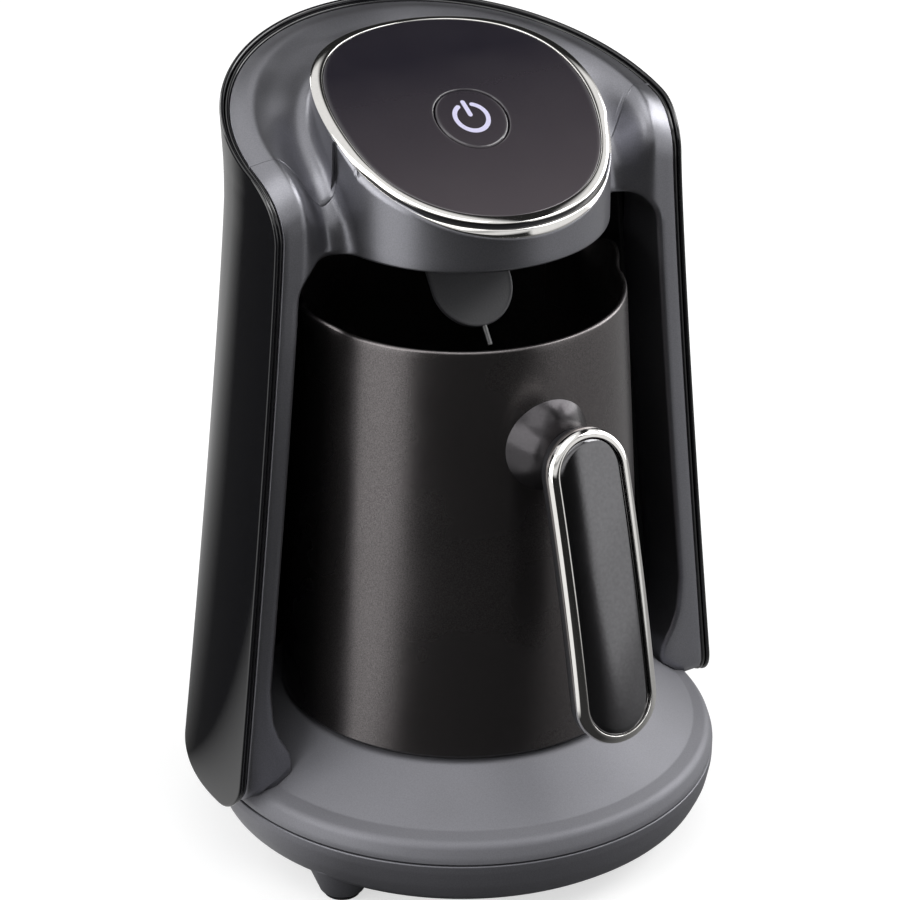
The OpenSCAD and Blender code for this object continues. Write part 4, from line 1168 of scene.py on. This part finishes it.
END_STEPS = 28
SIDE_STEPS = 18
TOP_MIDDLE = END_STEPS // 2
BOTTOM_MIDDLE = END_STEPS + SIDE_STEPS + END_STEPS // 2


def handle_outline(inset):
    half = HANDLE_W / 2 - inset
    a = np.radians(np.linspace(0, 180, END_STEPS))
    top = np.stack([half * np.cos(a), -HANDLE_W / 2 + half * np.sin(a)], axis=-1)
    bottom = np.stack([-half * np.cos(a), HANDLE_W / 2 - HANDLE_L - half * np.sin(a)], axis=-1)
    left = np.linspace(top[-1], bottom[0], SIDE_STEPS + 2)[1:-1]
    right = np.linspace(bottom[-1], top[0], SIDE_STEPS + 2)[1:-1]
    return np.vstack([top, left, bottom, right])


def handle_loop(inset, front):
    outline = handle_outline(inset)
    return handle_point(outline[:, 0], np.full(len(outline), front), outline[:, 1])


def handle_ring(section):
    loops = [handle_loop(i, f) for i, f in section] + [handle_loop(*section[0])]
    return [sheet(np.array(loops), wrap=True)]


BEZEL = rounded([(3.0, 4.1, 0.1), (2.75, 4.78, 0.22), (1.6, 4.7, 1.6), (0.45, 3.9, 1.4), (0.0, 2.5, 1.0),
                 (0.05, 0.9, 0.3), (2.95, 0.8, 0.2)], step=12)
piece("handle_bright_bezel", handle_ring(BEZEL), "pot", "chrome", ("handle_frame", "handle_band"), up=False)
CORE = rounded([(30, 0.7, 0), (0.6, 0.7, 0.4), (0.45, -2.6, 2.4), (3.2, -4.78, 2.4), (30, -4.78, 0)],
               closed=False, step=12)
core_loops = [handle_loop(min(i, 9.0), f) for i, f in CORE]
piece("handle_back_core", [looped(core_loops)], "pot", "moulded_black", ("handle_core",), up=False)
INSERT = [(3.1, 1.0, 0.0), (3.1, 3.4, 0.7), (3.2, 3.66, 0.85), (3.5, 3.84, 1.0), (5.0, 3.86, 1.0),
          (7.0, 3.86, 1.0), (9.0, 3.86, 1.0), (11.0, 3.86, 1.0), (12.6, 3.86, 1.0)]


def handle_plate(section, crown):
    """A plate of the handle's outline, crowned across and closed by cross strips that follow the bow."""
    loops = []
    for inset, front, share in section:
        outline = handle_outline(inset)
        half = HANDLE_W / 2 - section[0][0]
        front = front + share * crown * (1 - (outline[:, 0] / half) ** 2)
        loops.append(handle_point(outline[:, 0], front, outline[:, 1]))
    loops = np.array(loops)
    rows, count = loops.shape[:2]
    points, faces = sheet(loops, wrap=True)
    for base, flip in ((0, True), ((rows - 1) * count, False)):
        left = [base + i for i in range(TOP_MIDDLE, BOTTOM_MIDDLE)]
        right = [base + i for i in [*range(TOP_MIDDLE - 1, -1, -1), *range(count - 1, BOTTOM_MIDDLE - 1, -1)]]
        strip = [[right[k], left[k], left[k + 1], right[k + 1]] for k in range(len(left) - 1)]
        faces += [quad[::-1] if flip else quad for quad in strip]
    return points, faces


piece("handle_gloss_insert", [handle_plate(INSERT, 0.80)], "pot", "insert_black", ("handle_insert",),
      up=False)


NECK_Z = 150
NECK_R = 9.3
NECK_FLARE = 5.0


def neck_sheets():
    """Flared neck from the pot's wall to the handle's back."""
    angle = full_turn(56)
    rows = []
    for share in np.linspace(0, 1, 14):
        radius = NECK_R + NECK_FLARE * (1 - share) ** 2.4 + 0.5 * share ** 3
        x = radius * np.cos(angle)
        z = NECK_Z + radius * np.sin(angle)
        wall = -np.sqrt((pot_r(z) + 0.1) ** 2 - x ** 2)
        depth = (z - HANDLE_TOP[1]) / math.cos(HANDLE_A)
        bow = HANDLE_BOW * (1 - (2 * depth / HANDLE_L + 1) ** 2)
        back = HANDLE_TOP[0] + (4.7 - bow) / math.cos(HANDLE_A) + depth * math.sin(HANDLE_A)
        rows.append(np.stack([x, wall + (back - wall) * share, z], axis=-1))

    def shrink(loop):
        middle = np.array([0, loop[:, 1].mean(), NECK_Z])
        return middle + (loop - middle) * 0.3

    rows.append(shrink(rows[-1]))
    shrunk = shrink(rows[0])
    shrunk[:, 1] = -np.sqrt((pot_r(shrunk[:, 2]) + 0.1) ** 2 - shrunk[:, 0] ** 2)
    rows.insert(0, shrunk)
    rows.append(rows[0])
    return [sheet(np.array(rows), wrap=True)]


piece("handle_flared_neck", neck_sheets(), "pot", "moulded_black", ("handle_neck",),
      coat="neck_black", up=False)


# ---------------------------------------------------------------- chamber liner
LINER_LOW_Z = 45.6
LINER_HIGH_Z = 204.6
LINER_FRONT_Y = 8.6


def liner_sheets():
    turns = np.linspace(0, 1, 48)

    def grid(off):
        rows = []
        for z in np.linspace(LINER_LOW_Z, LINER_HIGH_Z, 40):
            radius = float(body_r(z)) - COLUMN_T - off
            start = math.asin(LINER_FRONT_Y / radius)
            rows.append(around(radius, start + (math.pi - 2 * start) * turns, z))
        return np.array(rows)

    return walled(grid(2.2), grid(0.25), 0.5)


# the liner is painted near-black as painted shade for the chamber's shadowed inside
piece("chamber_liner_painted_shade", liner_sheets(), "machine", "liner_black", ("chamber_liner",))


# ---------------------------------------------------------------- finishes of the CAD pieces that show
NODE_FINISH = {
    "zinc": "base_screws frame_screws shell_screws head_screws board_screws pot_screws handle_screw",
    "moulded_black": "button_holder tact_switch buzzer sensor_mount power_socket pot_base pot_inlet",
    "board_green": "power_board control_board sensor_board",
    # the chamber's ceiling and the head's underside take the liner's near-black painted shade
    "liner_black": "chamber_ceiling head_underside",
    "steel": "button_spring heating_element pot_stud",
    "ceramic_white": "thermostat thermal_fuse",
    "wire_red": "wiring_harness pot_wires",
    "rubber_black": "cord_gland",
    "relay_blue": "board_relay",
    "capacitor_brown": "board_capacitor",
    "core_yellow": "board_transformer",
    "terminal_white": "terminal_block",
    "symbol_white": "indicator_led",
    "probe_steel": "sensor_probe",
    "brass": "power_pins",
    "aluminium": "heater_plate",
}
for finish_name, names in NODE_FINISH.items():
    for node_name in names.split():
        mesh = nodes[node_name].data
        mesh.materials.clear()
        mesh.materials.append(FINISH[finish_name])


# ---------------------------------------------------------------- stage, lamps and world
FLOOR_HALF = 12.0
FLOOR_GLOW = 0.62
FLOOR_GLOSS = 0.35
FLOOR_LEFT = 1.0
FLOOR_FAR = 0.8
WORLD_DARK = 0.02
WORLD_GLOSS = 0.92
WORLD_FILL = 0.45
# what gloss sees as white: each patch is a product of ramps (axis, start, end, value at start, value at end)
WORLD_PATCHES = [
    [("X", 0.35, 0.40, 0.0, 1.0), ("Z", 0.3, 0.42, 1.0, 0.0), ("Y", 0.4, 0.55, 1.0, 0.0)],
    [("X", 0.54, 0.64, 0.0, 1.0), ("Y", 0.3, 0.42, 1.0, 0.0)],
    [("Z", 0.5, 0.62, 0.0, 1.0), ("X", 0.30, 0.39, 1.0, 0.0)],
    [("Z", 0.20, 0.30, 0.0, 0.9), ("Z", 0.42, 0.6, 1.0, 0.0), ("Y", -0.35, -0.05, 1.0, 0.0)],
]
LAMPS = [
    ("overhead", (-0.35, -0.5, 1.5), 0.2, (1.2, 1.0), 5),
    ("front_right_box", (1.0, -0.75, 1.3), 0.15, (0.9, 0.7), 9),
    ("left_card", (-1.25, 0.0, 0.6), 0.12, (1.3, 1.1), 12),
    ("right_card", (1.3, -0.1, 0.55), 0.12, (0.8, 1.0), 10),
    ("rear_card", (-0.35, 1.3, 0.75), 0.2, (0.5, 0.6), 3),
]


def seen_directly(tree, path):
    return largest(tree, path["Is Camera Ray"], path["Is Transmission Ray"])


def make_floor():
    """Plain pale floor that keeps the shadow and reads white to the lens, to metal and to gloss."""
    mesh = bpy.data.meshes.new("floor")
    half = FLOOR_HALF
    mesh.from_pydata([(-half, -half, 0), (half, -half, 0), (half, half, 0), (-half, half, 0)], [],
                     [(0, 1, 2, 3)])
    floor = new_object("floor", mesh)
    floor.location.z = -0.0002
    material = bpy.data.materials.new("pale_floor")
    material.use_nodes = True
    tree = material.node_tree
    shader = tree.nodes["Principled BSDF"]
    shader.inputs["Roughness"].default_value = 0.9
    shader.inputs["Specular IOR Level"].default_value = 0.0
    path = tree.nodes.new("ShaderNodeLightPath").outputs
    colour = mixed(tree, path["Is Glossy Ray"], (0.5, 0.5, 0.5, 1), (0.02, 0.02, 0.02, 1))
    tree.links.new(colour, shader.inputs["Base Color"])
    place = axes(tree, object_place(tree))
    # bright strips of floor that gloss mirrors: to the right, far in front on the right, and on the left
    beside = calc(tree, "ADD", place["X"], times(tree, place["Y"], 0.39))
    right = ranged(tree, beside, 0.01, FLOOR_GLOSS, -0.06, 0.12)
    far = times(tree, ranged(tree, beside, 0.0, 1.0, -0.02, 0.06),
                ranged(tree, place["Y"], FLOOR_FAR, 0.0, -0.9, -0.30))
    away = calc(tree, "SUBTRACT", times(tree, place["Y"], 0.883), times(tree, place["X"], 0.469))
    behind = calc(tree, "ADD", place["Y"], times(tree, place["X"], 0.42))
    left = times(tree, ranged(tree, away, 0.0, FLOOR_LEFT, 0.0, 0.06),
                 ranged(tree, behind, 1.0, 0.0, -0.03, 0.05))
    shown = times(tree, seen_directly(tree, path), FLOOR_GLOW)
    gloss = times(tree, path["Is Glossy Ray"], largest(tree, right, far, left))
    shader.inputs["Emission Color"].default_value = (1, 1, 1, 1)
    tree.links.new(largest(tree, shown, gloss), shader.inputs["Emission Strength"])
    mesh.materials.append(material)


def make_lamp(name, place, target_z, size, watts):
    data = bpy.data.lights.new(name, "AREA")
    data.shape = "RECTANGLE"
    data.size, data.size_y = size
    data.energy = watts
    back = np.array(place) - (0, 0, target_z)
    back /= np.linalg.norm(back)
    right = np.cross((0, 0, 1), back)
    right /= np.linalg.norm(right)
    aim(new_object(name, data), place, right, back)


def make_world():
    world = bpy.data.worlds.new("studio")
    bpy.context.scene.world = world
    world.use_nodes = True
    tree = world.node_tree
    backdrop = tree.nodes["Background"]
    path = tree.nodes.new("ShaderNodeLightPath").outputs
    way = axes(tree, tree.nodes.new("ShaderNodeTexCoord").outputs["Generated"])
    patches = [times(tree, *[ranged(tree, way[axis], at_start, at_end, start, end)
                             for axis, start, end, at_start, at_end in ramps]) for ramps in WORLD_PATCHES]
    gloss = times(tree, path["Is Glossy Ray"], ranged(tree, largest(tree, *patches), WORLD_DARK, WORLD_GLOSS))
    fill = times(tree, path["Is Diffuse Ray"], WORLD_FILL)
    backdrop.inputs["Color"].default_value = (1, 1, 1, 1)
    tree.links.new(largest(tree, seen_directly(tree, path), gloss, fill), backdrop.inputs["Strength"])


make_floor()
for lamp in LAMPS:
    make_lamp(*lamp)
make_world()
bpy.context.scene.view_settings.view_transform = "Standard"
